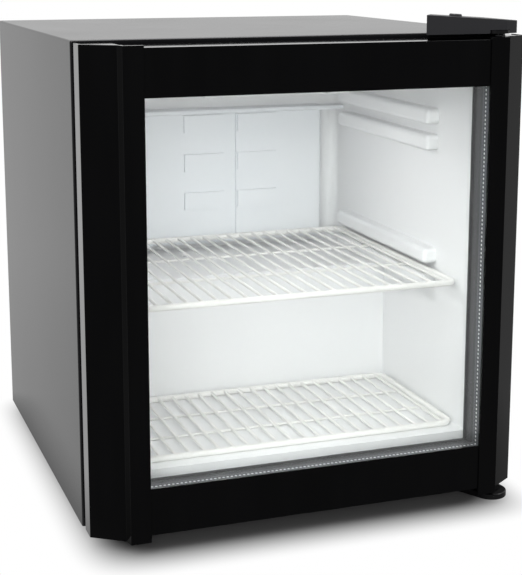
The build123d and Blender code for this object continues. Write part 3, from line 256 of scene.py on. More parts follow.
def let_go():
    """Selects nothing, because an operator acts on all that is selected, CAD nodes too."""
    bpy.ops.object.select_all(action="DESELECT")


def hold(piece):
    """Selects one piece alone and makes it the active one."""
    let_go()
    piece.select_set(True)
    bpy.context.view_layer.objects.active = piece


def blank():
    """The primitive just added, to be worked on: its place, turn and size are taken into its mesh."""
    bpy.ops.object.transform_apply(location=True, rotation=True, scale=True)
    return bpy.context.object


def pick(piece, direction):
    """Selects just the faces of a piece that look in a direction, and opens it for editing."""
    bpy.ops.object.mode_set(mode="EDIT")
    bpy.ops.mesh.select_mode(type="FACE")
    bpy.ops.mesh.select_all(action="DESELECT")
    bpy.ops.object.mode_set(mode="OBJECT")
    for face in piece.data.polygons:
        face.select = face.normal.dot(direction) > square_on
    bpy.ops.object.mode_set(mode="EDIT")


def settle(piece, name, material, body, smooth=35):
    """Applies a piece's place to its mesh, smooths it, and gives it its name, finish and body."""
    bpy.ops.object.mode_set(mode="OBJECT")
    hold(piece)
    bpy.ops.object.transform_apply(location=True, rotation=True, scale=True)
    bpy.ops.object.shade_smooth_by_angle(angle=math.radians(smooth))
    piece.name = name
    piece.data.name = name
    piece.data.materials.clear()
    piece.data.materials.append(material)
    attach(piece, body)


def gather(copies):
    """Joins copies of one shape into a single piece."""
    let_go()
    for copy in copies:
        copy.select_set(True)
    bpy.context.view_layer.objects.active = copies[0]
    bpy.ops.object.join()
    return bpy.context.object


def turned_copy(piece, angle, centre):
    """A copy of a piece with its own mesh, turned about an axis along Y through a point."""
    hold(piece)
    bpy.ops.object.duplicate(linked=False)
    bpy.ops.transform.rotate(value=angle, orient_axis="Y", orient_type="GLOBAL", center_override=centre)
    return bpy.context.object


let_go()
bpy.ops.mesh.primitive_cube_add(
    size=1.0,
    location=(knob_axis.x, housing_low.y, knob_axis.z + knob_r + mark_gap + mark_l / 2),
    scale=(mark_w, 2 * mark_proud, mark_l),
)
mark = blank()
pick(mark, forwards)
bpy.ops.mesh.bevel(offset=mark_edge, segments=3, affect="EDGES")
bpy.ops.object.mode_set(mode="OBJECT")
marks = [turned_copy(mark, mark_first + index * mark_step, knob_axis) for index in range(mark_count)]
bpy.data.objects.remove(mark)
settle(gather(marks), "dial_marks", grey, "cabinet")

# Lamp: four small lamps soldered to a green board, behind a moulded lens that clips into the control box.
# Flutes along the lens's underside spread the light over the shelf.
board_dark = (0.05, 0.20, 0.09, 1)
board_pale = (0.09, 0.29, 0.15, 1)
board, board_sockets, place = finish("lamp_board", {"Roughness": 0.45})
mask_print = place.noise(scale=900.0, detail=1.0)
place.feed(board_sockets["Base Color"], mask_print.mix(board_dark, board_pale))
dress(board, "led_board")
lens_cool = (0.82, 0.84, 0.86, 1)
lens_white = (0.92, 0.93, 0.94, 1)
lens_glow_low = (0.44, 0.45, 0.47, 1)
lens_glow_high = (0.60, 0.61, 0.63, 1)
lens, lens_sockets, place = finish("ribbed_lens", {"Roughness": 0.35, "Emission Strength": 1.0})
spread = place.noise(scale=120.0)
place.feed(lens_sockets["Base Color"], spread.mix(lens_cool, lens_white))
place.feed(lens_sockets["Emission Color"], spread.mix(lens_glow_low, lens_glow_high))
lens_low, lens_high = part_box("lamp_lens")
lens_middle = (lens_low + lens_high) / 2
lens_w = lens_high.x - lens_low.x
lens_d = lens_high.y - lens_low.y
lens_lip = 0.0018
lens_fit = 0.0019
window_w = lens_w - 2 * lens_fit
window_d = lens_d - 2 * lens_fit
flute_count = 20
flute_pitch = window_w / flute_count
flute_r = 0.48 * flute_pitch
flute_l = 0.98 * window_d
flute_drop = 0.0007
plate_low = lens_low.z + flute_drop
lip_low = lens_high.z - lens_lip
first_flute = (lens_middle.x - flute_pitch * (flute_count - 1) / 2, lens_middle.y, plate_low)
quarter_turn = math.radians(90)
upwards = Vector((0, 0, 1))


def open_whole():
    """Opens the active piece for editing with all of it selected."""
    bpy.ops.object.mode_set(mode="EDIT")
    bpy.ops.mesh.select_mode(type="EDGE")
    bpy.ops.mesh.select_all(action="SELECT")


def shape_with(piece, kind, settings):
    """Adds a modifier to a piece and applies it."""
    hold(piece)
    modifier = piece.modifiers.new(kind, kind)
    for name, value in settings.items():
        setattr(modifier, name, value)
    bpy.ops.object.modifier_apply(modifier=modifier.name)


let_go()
bpy.ops.mesh.primitive_cube_add(
    size=1.0,
    location=(lens_middle.x, lens_middle.y, (plate_low + lip_low) / 2),
    scale=(window_w, window_d, lip_low - plate_low),
)
fluted = blank()
pick(fluted, upwards)
bpy.ops.mesh.extrude_region_move()
bpy.ops.transform.resize(
    value=(lens_w / window_w, lens_d / window_d, 1.0),
    center_override=(lens_middle.x, lens_middle.y, lip_low),
)
bpy.ops.mesh.extrude_region_move(TRANSFORM_OT_translate={"value": (0, 0, lens_lip)})
bpy.ops.object.mode_set(mode="OBJECT")
let_go()
bpy.ops.mesh.primitive_cylinder_add(
    vertices=24, radius=flute_r, depth=flute_l, rotation=(quarter_turn, 0, 0), location=first_flute)
flutes = blank()
open_whole()
bpy.ops.transform.resize(value=(1.0, 1.0, flute_drop / flute_r), center_override=first_flute)
bpy.ops.object.mode_set(mode="OBJECT")
flute_row = {
    "count": flute_count,
    "use_relative_offset": False,
    "use_constant_offset": True,
    "constant_offset_displace": (flute_pitch, 0, 0),
}
shape_with(flutes, "ARRAY", flute_row)
shape_with(fluted, "BOOLEAN", {"operation": "UNION", "solver": "EXACT", "object": flutes})
bpy.data.objects.remove(flutes)
settle(fluted, "fluted_lens", lens, "cabinet", 50)
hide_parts("lamp_lens")

# Wire shelf and floor rack: steel wire, spot welded and dipped in white epoxy.
# The coating is a little lumpy, and thicker at the welds.
epoxy_shaded = (0.80, 0.79, 0.76, 1)
epoxy_lit = (0.86, 0.85, 0.83, 1)
epoxy, epoxy_sockets, place = finish("white_epoxy", {})
lump = place.noise(scale=240.0)
place.feed(epoxy_sockets["Base Color"], lump.mix(epoxy_shaded, epoxy_lit))
place.feed(epoxy_sockets["Roughness"], 0.30 + 0.12 * lump)
place.feed(epoxy_sockets["Normal"], lump.bump(strength=0.2, depth=0.0004))
dress(epoxy, "wire_shelf", "floor_rack")

# Feet: black moulded pads on studs at the front, which are screwed in or out to level the fridge.
# The same black plastic makes the relay cover, the mains inlet, the thermostat's case and the drip tray.
black_deep = (0.022, 0.022, 0.024, 1)
black_scuffed = (0.045, 0.045, 0.048, 1)
black, black_sockets, place = finish("moulded_black", {})
etch = place.noise(scale=1300.0)
scuff = place.noise(scale=60.0, detail=4.0)
place.feed(black_sockets["Base Color"], scuff.mix(black_deep, black_scuffed))
place.feed(black_sockets["Roughness"], 0.42 + 0.16 * scuff)
place.feed(black_sockets["Normal"], etch.bump(strength=0.15, depth=0.0002))
dress(black, "front_foot_left", "front_foot_right")
dress(black, "relay_cover", "mains_inlet", "drip_tray", "thermostat_body")

# Nuts, bolts and hinge screws: formed cold from steel, with rolled threads and a bright zinc plating.
# The plating yellows slightly with age.
plated_yellowed = (0.56, 0.56, 0.54, 1)
plated_bright = (0.70, 0.70, 0.70, 1)
plated, plated_sockets, place = finish("zinc_plating", {"Metallic": 1.0})
tarnish = place.noise(scale=350.0, detail=3.0)
place.feed(plated_sockets["Base Color"], tarnish.mix(plated_yellowed, plated_bright))
place.feed(plated_sockets["Roughness"], 0.25 + 0.2 * tarnish)
dress(plated, "foot_nuts", "compressor_bolts", "top_hinge_screws", "bottom_hinge_screws")

# Compressor mounts and drain tube: black rubber, moulded or extruded, and pushed into their holes.
# The skin is matt, and a dusty bloom comes out on it.
rubber_black = (0.018, 0.018, 0.018, 1)
rubber_dusty = (0.045, 0.045, 0.043, 1)
rubber, rubber_sockets, place = finish("moulded_rubber", {})
bloom = place.noise(scale=90.0, detail=5.0)
place.feed(rubber_sockets["Base Color"], bloom.mix(rubber_black, rubber_dusty))
place.feed(rubber_sockets["Roughness"], 0.66 + 0.2 * bloom)
place.feed(rubber_sockets["Normal"], place.noise(scale=800.0).bump(strength=0.15, depth=0.0003))
dress(rubber, "compressor_grommets", "drain_tube")

# Compressor shell: two drawn steel cups, one let into the other and welded round the middle.
# A thick coat of black stoving paint covers it, which runs a little before it sets.
stoved_deep = (0.012, 0.012, 0.013, 1)
stoved_pale = (0.028, 0.028, 0.03, 1)
stoved, stoved_sockets, place = finish("black_stoving", {})
run = place.noise(scale=30.0, detail=4.0)
place.feed(stoved_sockets["Base Color"], run.mix(stoved_deep, stoved_pale))
place.feed(stoved_sockets["Roughness"], 0.22 + 0.2 * run)
place.feed(stoved_sockets["Normal"], place.noise(scale=260.0).bump(strength=0.25, depth=0.0005))
dress(stoved, "compressor_shell")

# Pipes and drier: copper tube, drawn and bent, and for the drier a wider tube closed in at both ends.
# Brazing browns it near the joints, and handling does elsewhere.
copper_bright = (0.75, 0.42, 0.27, 1)
copper_brown = (0.36, 0.17, 0.10, 1)
copper, copper_sockets, place = finish("drawn_copper", {"Metallic": 1.0})
brown = place.noise(scale=55.0, detail=4.0).rise(low=0.35, high=0.75)
place.feed(copper_sockets["Base Color"], brown.mix(copper_bright, copper_brown))
place.feed(copper_sockets["Roughness"], 0.22 + 0.3 * brown)
dress(copper, "discharge_pipe", "suction_pipe", "process_pipe", "filter_drier", "capillary_tube")

# Braze collars: filler metal run round each pipe where it enters the shell and the drier.
# It sets in an uneven ring, silver where it flowed and brown where the flux burnt.
braze_burnt = (0.30, 0.20, 0.12, 1)
braze_silver = (0.70, 0.62, 0.46, 1)
braze, braze_sockets, place = finish("braze_metal", {"Metallic": 1.0})
flux = place.noise(scale=420.0, detail=3.0)
place.feed(braze_sockets["Base Color"], flux.mix(braze_burnt, braze_silver))
place.feed(braze_sockets["Roughness"], 0.30 + 0.3 * flux)
pipe_r = 0.003
collar_r = pipe_r + 0.0003
collar_bead_r = 0.0015
collar_back = 0.001
collar_unevenness = 0.0005
drier_low, drier_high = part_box("filter_drier")
drier_x = (drier_low.x + drier_high.x) / 2
drier_y = (drier_low.y + drier_high.y) / 2
collar_places = [((drier_x, drier_y, drier_low.z), 0.0), ((drier_x, drier_y, drier_high.z), 0.0)]
for pipe in ("discharge_pipe", "suction_pipe", "process_pipe"):
    pipe_low, pipe_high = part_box(pipe)
    pipe_y = pipe_low.y + pipe_r if pipe == "discharge_pipe" else (pipe_low.y + pipe_high.y) / 2
    collar_places.append(((pipe_high.x - collar_back, pipe_y, pipe_low.z + pipe_r), quarter_turn))
for index, (middle, turn) in enumerate(collar_places):
    let_go()
    bpy.ops.mesh.primitive_torus_add(
        location=middle, rotation=(0, turn, 0), major_segments=28, minor_segments=10,
        major_radius=collar_r, minor_radius=collar_bead_r)
    collar = blank()
    open_whole()
    bpy.ops.transform.vertex_random(offset=collar_unevenness, uniform=0.3, normal=0.8, seed=index + 1)
    bpy.ops.object.mode_set(mode="OBJECT")
    shape_with(collar, "SUBSURF", {"levels": 1, "render_levels": 1})
    settle(collar, f"braze_collar_{index + 1}", braze, "cabinet", 180)

# Suction sleeve: a length of black foam tube pushed over the cold pipe, so that it doesn't sweat.
# It is cut from a roll, and its ends are a little crushed.
sleeve_pore = (0.012, 0.012, 0.013, 1)
sleeve_skin = (0.04, 0.04, 0.042, 1)
sleeve_foam, sleeve_sockets, place = finish("sleeve_foam", {"Roughness": 0.85})
pore = place.node("ShaderNodeTexVoronoi", {}, {"Vector": place, "Scale": 1100.0})
place.feed(sleeve_sockets["Base Color"], pore.mix(sleeve_pore, sleeve_skin))
place.feed(sleeve_sockets["Normal"], pore.bump(strength=0.4, depth=0.0004))
riser_low, riser_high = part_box("suction_pipe")
sleeve_r = 0.0085
sleeve_wall = 0.0045
sleeve_l = 0.052
sleeve_below_bend = 0.010
sleeve_rings = 6
sleeve_crush = 0.0006
let_go()
bpy.ops.mesh.primitive_circle_add(
    vertices=20,
    radius=sleeve_r,
    fill_type="NOTHING",
    location=(
        riser_low.x + pipe_r,
        (riser_low.y + riser_high.y) / 2,
        riser_high.z - sleeve_below_bend - sleeve_l,
    ),
)
sleeve = blank()
open_whole()
for _ in range(sleeve_rings):
    bpy.ops.mesh.extrude_region_move(TRANSFORM_OT_translate={"value": (0, 0, sleeve_l / sleeve_rings)})
bpy.ops.mesh.select_all(action="SELECT")
bpy.ops.mesh.normals_make_consistent(inside=False)
bpy.ops.transform.vertex_random(offset=sleeve_crush, uniform=0.2, normal=0.8, seed=11)
bpy.ops.object.mode_set(mode="OBJECT")
shape_with(sleeve, "SOLIDIFY", {"thickness": sleeve_wall, "offset": -1.0})
shape_with(sleeve, "SUBSURF", {"levels": 2, "render_levels": 2})
settle(sleeve, "suction_sleeve", sleeve_foam, "cabinet", 60)

# Condenser: a steel tube bent to and fro, with straight wires spot welded across both of its sides.
# It is painted black as one piece, gathers dust, and is held to the back panel by straps.
paint_black = (0.012, 0.012, 0.013, 1)
paint_dusty = (0.035, 0.034, 0.033, 1)
painted, painted_sockets, place = finish("condenser_paint", {})
dust = place.noise(scale=40.0, detail=4.0)
place.feed(painted_sockets["Base Color"], dust.mix(paint_black, paint_dusty))
place.feed(painted_sockets["Roughness"], 0.34 + 0.22 * dust)
dress(painted, "condenser_coil", "condenser_wires")

# Condenser screws: plated pan heads with a cross recess, one through each strap into the back panel.
# The head is rolled to a dome, and the recess is struck into it cold.
screw_head_r = 0.004
screw_head_h = 0.0022
screw_dome = 0.0016
screw_shank_r = 0.002
screw_tip_share = 0.2
screw_tip_taper = 0.3
recess_l = 0.0046
recess_w = 0.0010
recess_depth = 0.0014
backwards = Vector((0, 1, 0))
screws_low, screws_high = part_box("condenser_screws")
screw_rows_x = screws_high.x - screws_low.x - 2 * screw_head_r
screw_rows_z = screws_high.z - screws_low.z - 2 * screw_head_r
shank_l = screws_high.y - screws_low.y - screw_head_h
seat = Vector((screws_low.x + screw_head_r, screws_high.y, screws_low.z + screw_head_r))
let_go()
bpy.ops.mesh.primitive_cylinder_add(
    vertices=40, radius=screw_head_r, depth=screw_head_h, rotation=(quarter_turn, 0, 0),
    location=(seat.x, seat.y - screw_head_h / 2, seat.z))
screw = blank()
pick(screw, backwards)
bpy.ops.mesh.bevel(offset=screw_dome, segments=6, affect="EDGES")
pick(screw, forwards)
bpy.ops.mesh.inset(thickness=screw_head_r - screw_shank_r)
for share in (1 - screw_tip_share, screw_tip_share):
    bpy.ops.mesh.extrude_region_move(TRANSFORM_OT_translate={"value": (0, -share * shank_l, 0)})
bpy.ops.transform.resize(
    value=(screw_tip_taper, 1.0, screw_tip_taper), center_override=(seat.x, screws_low.y, seat.z))
bpy.ops.object.mode_set(mode="OBJECT")
for length_x, length_z in ((recess_l, recess_w), (recess_w, recess_l)):
    let_go()
    bpy.ops.mesh.primitive_cube_add(size=1.0, location=seat, scale=(length_x, 2 * recess_depth, length_z))
    punch = bpy.context.object
    shape_with(screw, "BOOLEAN", {"operation": "DIFFERENCE", "solver": "EXACT", "object": punch})
    bpy.data.objects.remove(punch)
screws = [screw]
for along_x, along_z in ((1, 0), (0, 1), (1, 1)):
    hold(screw)
    bpy.ops.object.duplicate(linked=False)
    bpy.ops.transform.translate(value=(along_x * screw_rows_x, 0, along_z * screw_rows_z))
    screws.append(bpy.context.object)
screw_set = gather(screws)
settle(screw_set, "pan_head_screws", plated, "cabinet")
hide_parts("condenser_screws")

# Hinge plates: thick steel, cut out, drilled and bent, with the pins pressed in.
# They are enamelled gloss black and screwed to the cabinet above and below the door.
hinge_deep = (0.004, 0.004, 0.0045, 1)
hinge_pale = (0.007, 0.007, 0.0075, 1)
hinge_enamel, hinge_sockets, place = finish("hinge_enamel", {})
gloss = place.noise(scale=120.0)
place.feed(hinge_sockets["Base Color"], gloss.mix(hinge_deep, hinge_pale))
place.feed(hinge_sockets["Roughness"], 0.10 + 0.08 * gloss)
place.feed(hinge_sockets["Normal"], place.noise(scale=500.0, detail=1.0).bump(strength=0.08, depth=0.0002))
dress(hinge_enamel, "top_hinge_bracket", "bottom_hinge_bracket")

# Hinge cover and its cap: satin black mouldings that hide the top hinge.
# One screw holds the cover, and the cap is pressed in over it.
cover_deep = (0.020, 0.020, 0.022, 1)
cover_pale = (0.030, 0.030, 0.033, 1)
cover, cover_sockets, place = finish("cover_plastic", {})
satin = place.noise(scale=1100.0)
place.feed(cover_sockets["Base Color"], satin.mix(cover_deep, cover_pale))
place.feed(cover_sockets["Roughness"], 0.30 + 0.10 * satin)
place.feed(cover_sockets["Normal"], satin.bump(strength=0.10, depth=0.0002))
dress(cover, "hinge_cover", "hinge_cover_cap")

# Bushes and washer: dark nylon turned to size and greased, between the hinge pins and the door.
# They carry the door's weight and let the steel pins turn without wearing it.
nylon_deep = (0.022, 0.022, 0.024, 1)
nylon_pale = (0.05, 0.05, 0.052, 1)
nylon, nylon_sockets, place = finish("greased_nylon", {})
grease = place.noise(scale=300.0)
place.feed(nylon_sockets["Base Color"], grease.mix(nylon_deep, nylon_pale))
place.feed(nylon_sockets["Roughness"], 0.25 + 0.25 * grease)
dress(nylon, "hinge_bushes", "hinge_washer")

# Door stiles and rails: extruded profiles with a deep black gloss, joined at the corners by caps.
# The long faces have the slight waviness of an extrusion.
# The outer and upper faces have a clear coat over the black, which mirrors more.
lacquer_deep = (0.0016, 0.0016, 0.0018, 1)
lacquer_pale = (0.0030, 0.0030, 0.0033, 1)
wave_shape = (6.0, 6.0, 1.0)
coat_from = 0.205
coat_full = 0.210
lacquer, lacquer_sockets, place = finish("door_gloss", {"Specular IOR Level": 0.16})
drawn = place.node("ShaderNodeMapping", {}, {"Vector": place, "Scale": wave_shape})
wave = drawn.noise(scale=9.0, detail=1.0)
place.feed(lacquer_sockets["Base Color"], wave.mix(lacquer_deep, lacquer_pale))
place.feed(lacquer_sockets["Roughness"], 0.06 + 0.05 * wave)
place.feed(lacquer_sockets["Normal"], wave.bump(strength=0.04, depth=0.001))
facing = place.node("ShaderNodeTexCoord", {}, {}, "Normal")
sideways = abs(facing.axis("X")).rise(low=0.90, high=0.98)
outer_side = sideways * abs(place.axis("X")).rise(low=coat_from, high=coat_full)
upper_side = facing.axis("Z").rise(low=0.90, high=0.98)
place.feed(lacquer_sockets["Coat Weight"], outer_side.most(upper_side))
dress(lacquer, "left_stile", "right_stile", "top_rail", "bottom_rail", "stile_end_caps")

# Inner door frame: dark moulding that clamps the glass from behind and carries the gasket.
# Its faces keep the fine grain of the mould.
frame_deep = (0.026, 0.0265, 0.029, 1)
frame_pale = (0.040, 0.041, 0.044, 1)
clamp, clamp_sockets, place = finish("frame_plastic", {})
grain = place.noise(scale=1000.0)
place.feed(clamp_sockets["Base Color"], grain.mix(frame_deep, frame_pale))
place.feed(clamp_sockets["Roughness"], 0.4 + 0.15 * grain)
place.feed(clamp_sockets["Normal"], grain.bump(strength=0.12, depth=0.0002))
dress(clamp, "door_inner_frame")

# Panes: two sheets of float glass, cut to size and held apart by the spacer.
# The faces are clear, and the ground edges show the green of the glass. Lamps shine straight through.
glass_clear = (0.992, 0.996, 0.994, 1)
glass_green = (0.45, 0.72, 0.62, 1)
glass_shadow = (0.95, 0.965, 0.96, 1)
pane, pane_sockets, place = finish(
    "float_glass", {"Roughness": 0.0, "IOR": 1.45, "Transmission Weight": 1.0})
frontal = abs(place.node("ShaderNodeTexCoord", {}, {}, "Normal").axis("Y"))
ground_edge = 1 - frontal.rise(low=0.3, high=0.7)
place.feed(pane_sockets["Base Color"], ground_edge.mix(glass_clear, glass_green))
glass_tree = pane.node_tree
glass_face = Shade(glass_tree, glass_tree.nodes["Principled BSDF"].outputs[0])
lamp_ray = place.node("ShaderNodeLightPath", {}, {}, "Is Shadow Ray")
through = place.node("ShaderNodeBsdfTransparent", {}, {"Color": glass_shadow})
either = place.node("ShaderNodeMixShader", {}, {0: lamp_ray, 1: glass_face, 2: through})
place.feed(glass_tree.nodes["Material Output"].inputs["Surface"], either)
dress(pane, "outer_pane", "inner_pane")

# Spacer: a thin aluminium bar round the gap between the panes, filled with drying beads.
# Fine holes along its middle let the beads breathe, and their pressed rims catch the light.
bar_dark = (0.13, 0.135, 0.145, 1)
bar_rim = (0.82, 0.83, 0.84, 1)
hole_pitch = 0.004
bar, bar_sockets, place = finish("punched_bar", {})
spacer_low, spacer_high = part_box("glass_spacer")
along_bar = (place.axis("X") + place.axis("Z")) / hole_pitch
off_hole = place.maths("FRACT", along_bar) - 0.5
across_bar = (place.axis("Y") - (spacer_low.y + spacer_high.y) / 2) / hole_pitch
rim = 1 - (off_hole * off_hole + across_bar * across_bar).rise(low=0.05, high=0.12)
place.feed(bar_sockets["Base Color"], rim.mix(bar_dark, bar_rim))
place.feed(bar_sockets["Metallic"], 0.9 - 0.6 * rim)
place.feed(bar_sockets["Roughness"], 0.35 + 0.1 * place.noise(scale=300.0))
dress(bar, "glass_spacer")

# Sealant: dark polysulphide pressed in round the spacer, where it bonds both panes and shuts the gap.
# It sets like rubber and keeps the ripple of the nozzle.
seal_dark = (0.03, 0.03, 0.032, 1)
seal_pale = (0.06, 0.06, 0.063, 1)
seal, seal_sockets, place = finish("edge_sealant", {"Roughness": 0.6})
ripple = place.noise(scale=200.0, detail=3.0)
place.feed(seal_sockets["Base Color"], ripple.mix(seal_dark, seal_pale))
place.feed(seal_sockets["Normal"], ripple.bump(strength=0.3, depth=0.0006))
dress(seal, "glass_sealant")

# Gasket: soft black vinyl, extruded with two folds on each side, cut to length and welded at the corners.
# Its foot is fixed to the inner frame, and a pocket in its head holds the magnets.
# The outline runs from the foot to the middle of the head, in mm in from the edge and off the frame.
vinyl_black = (0.018, 0.018, 0.0195, 1)
vinyl_grey = (0.030, 0.030, 0.032, 1)
vinyl, vinyl_sockets, place = finish("soft_vinyl", {"Specular IOR Level": 0.35})
soft = place.noise(scale=150.0, detail=3.0)
place.feed(vinyl_sockets["Base Color"], soft.mix(vinyl_black, vinyl_grey))
place.feed(vinyl_sockets["Roughness"], 0.38 + 0.15 * soft)
place.feed(vinyl_sockets["Normal"], place.noise(scale=700.0).bump(strength=0.1, depth=0.0003))
mm = 0.001
gasket_low, gasket_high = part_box("door_gasket")
gasket_middle = (gasket_low + gasket_high) / 2
gasket_w = gasket_high.x - gasket_low.x
gasket_h = gasket_high.z - gasket_low.z
strip_w = 12.0
strip_cuts = 30
strip_waviness = 0.12 * mm
weld_reach = 0.01 * mm
outer_half = (
    (3.0, 0.0), (0.6, 0.0), (0.15, 0.2), (0.0, 0.6), (0.0, 1.5), (0.2, 2.0), (0.7, 2.3), (1.7, 2.5),
    (2.4, 2.8), (2.8, 3.3), (2.8, 3.8), (2.4, 4.2), (1.6, 4.4), (1.0, 4.65), (0.8, 5.0), (1.0, 5.35),
    (1.6, 5.6), (2.4, 5.85), (2.7, 6.25), (2.5, 6.6), (1.8, 6.8), (0.8, 6.95), (0.2, 7.3), (0.0, 7.8),
    (0.0, 9.6), (0.25, 10.25), (0.8, 10.6), (1.6, 10.7), (4.9, 10.7), (5.3, 10.55), (6.0, 10.4),
)
inner_half = tuple((strip_w - inset, off) for inset, off in reversed(outer_half[:-1]))
magnet_room = ((2.4, 7.75), (2.4, 9.95), (9.6, 9.95), (9.6, 7.75))


def strip_round_door(outline):
    """A closed skin that follows an outline round the door, left open for editing."""
    let_go()
    bpy.ops.mesh.primitive_plane_add(
        size=1.0, location=(gasket_middle.x, gasket_low.y, gasket_middle.z), rotation=(quarter_turn, 0, 0))
    bpy.context.object.scale = (gasket_w, gasket_h, 1.0)
    strip = blank()
    open_whole()
    bpy.ops.mesh.delete(type="ONLY_FACE")
    bpy.ops.mesh.select_all(action="SELECT")
    bpy.ops.mesh.subdivide(number_cuts=strip_cuts)
    inset, off = 0.0, 0.0
    for index, (next_inset, next_off) in enumerate(outline + outline[:1]):
        if index:
            bpy.ops.mesh.extrude_region_move()
        shrink_x = (gasket_w - 2 * next_inset * mm) / (gasket_w - 2 * inset * mm)
        shrink_z = (gasket_h - 2 * next_inset * mm) / (gasket_h - 2 * inset * mm)
        bpy.ops.transform.resize(value=(shrink_x, 1.0, shrink_z), center_override=gasket_middle)
        bpy.ops.transform.translate(value=(0, (next_off - off) * mm, 0))
        inset, off = next_inset, next_off
    bpy.ops.mesh.select_all(action="SELECT")
    bpy.ops.mesh.remove_doubles(threshold=weld_reach)
    bpy.ops.mesh.normals_make_consistent(inside=False)
    return strip


pleats = strip_round_door(outer_half + inner_half)
bpy.ops.transform.vertex_random(offset=strip_waviness, uniform=0.2, normal=0.8, seed=21)
bpy.ops.object.mode_set(mode="OBJECT")
pocket = strip_round_door(magnet_room)
bpy.ops.mesh.flip_normals()
bpy.ops.object.mode_set(mode="OBJECT")
pleated = gather([pleats, pocket])
settle(pleated, "pleated_gasket", vinyl, "door", 60)
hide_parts("door_gasket")

# Magnets: strips of ferrite powder bonded in rubber, slid into the gasket's head before it is welded.
# They pull the gasket against the steel of the cabinet.
magnet_brown = (0.035, 0.03, 0.028, 1)
magnet_grey = (0.08, 0.07, 0.065, 1)
magnet, magnet_sockets, place = finish("bonded_magnet", {})
powder = place.noise(scale=600.0, detail=3.0)
place.feed(magnet_sockets["Base Color"], powder.mix(magnet_brown, magnet_grey))
place.feed(magnet_sockets["Roughness"], 0.6 + 0.2 * powder)
dress(magnet, "gasket_magnets")

# Studio floor: white paper that runs out to the horizon, dark under the fridge and just round it,
# from the real shadow and a painted shadow in the paper's colour.
# A gloss sees it dimmer, most of all in front, as in a room with its lamps above, and close to the fridge
# by painted shade.
white = (1, 1, 1, 1)
no_light = (0, 0, 0, 1)
painted_shadow_grey = (0.22, 0.22, 0.22, 1)
floor_size = 60.0
shade_w = 0.206
shade_d = 0.238
shade_squareness = 10.0
shade_from = -0.02
shade_to = 0.034


def rays(shade):
    """Whether a ray comes from the camera, from a gloss, and through glass."""
    kinds = ("Is Camera Ray", "Is Glossy Ray", "Is Transmission Ray")
    return [shade.node("ShaderNodeLightPath", {}, {}, kind) for kind in kinds]


let_go()
bpy.ops.mesh.primitive_plane_add(size=floor_size)
floor = bpy.context.object
floor.name = "studio_floor"
paper, _, place = finish("studio_paper", {})
camera_ray, mirror_ray, glass_ray = rays(place)
depth = place.axis("Y")
width = place.axis("X")
reach_w = (abs(width) / shade_w) ** shade_squareness
reach_d = (abs(depth) / shade_d) ** shade_squareness
outside = shade_w * ((reach_w + reach_d) ** (1 / shade_squareness) - 1.0)
clear_of_shade = outside.rise(shade_from, shade_to)
front_dim = 0.85 * (1 - depth.rise(low=-0.27, high=0.0))
right_dim = 0.55 * width.rise(low=0.22, high=0.5)
back_dim = 0.44 - 0.10 * depth.rise(low=0.0, high=1.2)
# Painted shade: close to the fridge the floor is dimmer as a gloss sees it, in place of the fridge's
# shadow there.
painted_shade_near = 0.6 * (1 - outside.rise(low=0.015, high=0.11))
mirrored = 1 - mirror_ray * (1 - glass_ray) * front_dim.most(right_dim, back_dim, painted_shade_near)
seen = mirrored * camera_ray.most(glass_ray, mirror_ray)
# Painted shadow: under the fridge the paper's own colour is dark grey, and darker still as a gloss sees
# it.
sheet = place.node("ShaderNodeBsdfDiffuse", {}, {"Color": mirrored.mix(no_light, painted_shadow_grey)})
glow = place.node("ShaderNodeEmission", {}, {"Color": white, "Strength": seen})
ground = place.node("ShaderNodeMixShader", {}, {0: clear_of_shade, 1: sheet, 2: glow})
place.feed(paper.node_tree.nodes["Material Output"].inputs["Surface"], ground)
floor.data.materials.append(paper)

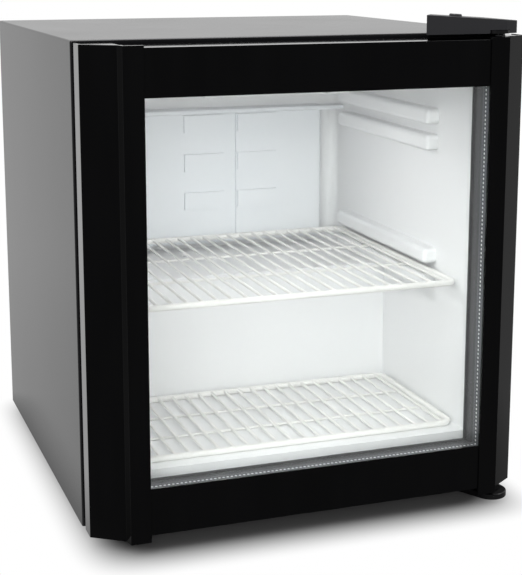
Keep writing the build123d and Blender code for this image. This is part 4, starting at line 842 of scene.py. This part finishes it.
# Studio room: white to the camera and through glass, with an even light on all that is matt.
# A gloss sees it bright behind the fridge and nearly dark behind the camera.
room_dark = 0.05
room_bright = 0.60
room_ambient = 0.42
scene = bpy.context.scene
scene.world = bpy.data.worlds.new("studio_room")
scene.world.use_nodes = True
room = Shade(scene.world.node_tree)
heading = room.node("ShaderNodeTexCoord", {}, {}, "Generated").axis("Y")
camera_ray, mirror_ray, glass_ray = rays(room)
bright_side = room_dark + room_bright * heading.rise(low=-0.45, high=0.05)
white_seen = camera_ray.most(glass_ray)
room_light = white_seen.most(mirror_ray * bright_side)
ambient = (1 - white_seen.most(mirror_ray)) * room_ambient
backdrop = scene.world.node_tree.nodes["Background"].inputs
room.feed(backdrop["Strength"], room_light + ambient)
room.feed(backdrop["Color"], white)

# Lamps: three large soft boxes above and beside the fridge, and one in front that no gloss shows.
# A small one under the fridge's own lamp lights the compartment and is itself hidden from view.
fridge_middle = (0, 0, 0.2)
glass_middle = (0, 0, 0.25)
inner_lamp_place = (0.0, -0.0725, 0.398)
inner_lamp_target = (0, -0.0725, 0.2)


def softbox(name, spot, target, size, power):
    """Area lamp that faces a point."""
    bpy.ops.object.light_add(type="AREA", location=spot)
    lamp = bpy.context.object
    lamp.name = name
    lamp.data.shape = "RECTANGLE"
    lamp.data.size, lamp.data.size_y = size
    lamp.data.energy = power
    aim = Vector(target) - Vector(spot)
    lamp.rotation_euler = aim.to_track_quat("-Z", "Y").to_euler()
    return lamp


softbox("key_lamp", (-1.3, -1.5, 2.0), fridge_middle, size=(1.2, 1.2), power=26.0)
softbox("fill_lamp", (1.7, -1.2, 1.5), fridge_middle, size=(1.2, 1.2), power=14.0)
softbox("top_lamp", (0.0, 0.2, 2.2), fridge_middle, size=(1.6, 1.6), power=24.0)
front_lamp = softbox("front_lamp", (-0.7, -2.3, 0.75), glass_middle, size=(1.0, 0.8), power=17.0)
front_lamp.visible_glossy = False
inner_lamp = softbox("cabinet_lamp", inner_lamp_place, inner_lamp_target, size=(0.06, 0.03), power=0.32)
inner_lamp.visible_camera = False
inner_lamp.visible_glossy = False
inner_lamp.visible_transmission = False

# Camera: a little left of the fridge and above it, at the photograph's angle, with a long lens.
# The lens is shifted down by an eighth of the frame, which keeps the upright edges nearly parallel.
camera_place = (-0.4580, -1.3520, 0.5349)
camera_down = 10.825
camera_right = 19.581
camera_lens = 85.3
camera_shift = -0.125
camera_reach = 100.0
bpy.ops.object.camera_add(location=camera_place)
camera = bpy.context.object
camera.rotation_euler = (math.radians(90 - camera_down), 0, math.radians(-camera_right))
camera.data.lens = camera_lens
camera.data.shift_y = camera_shift
camera.data.clip_end = camera_reach
scene.camera = camera
scene.view_settings.view_transform = "Standard"
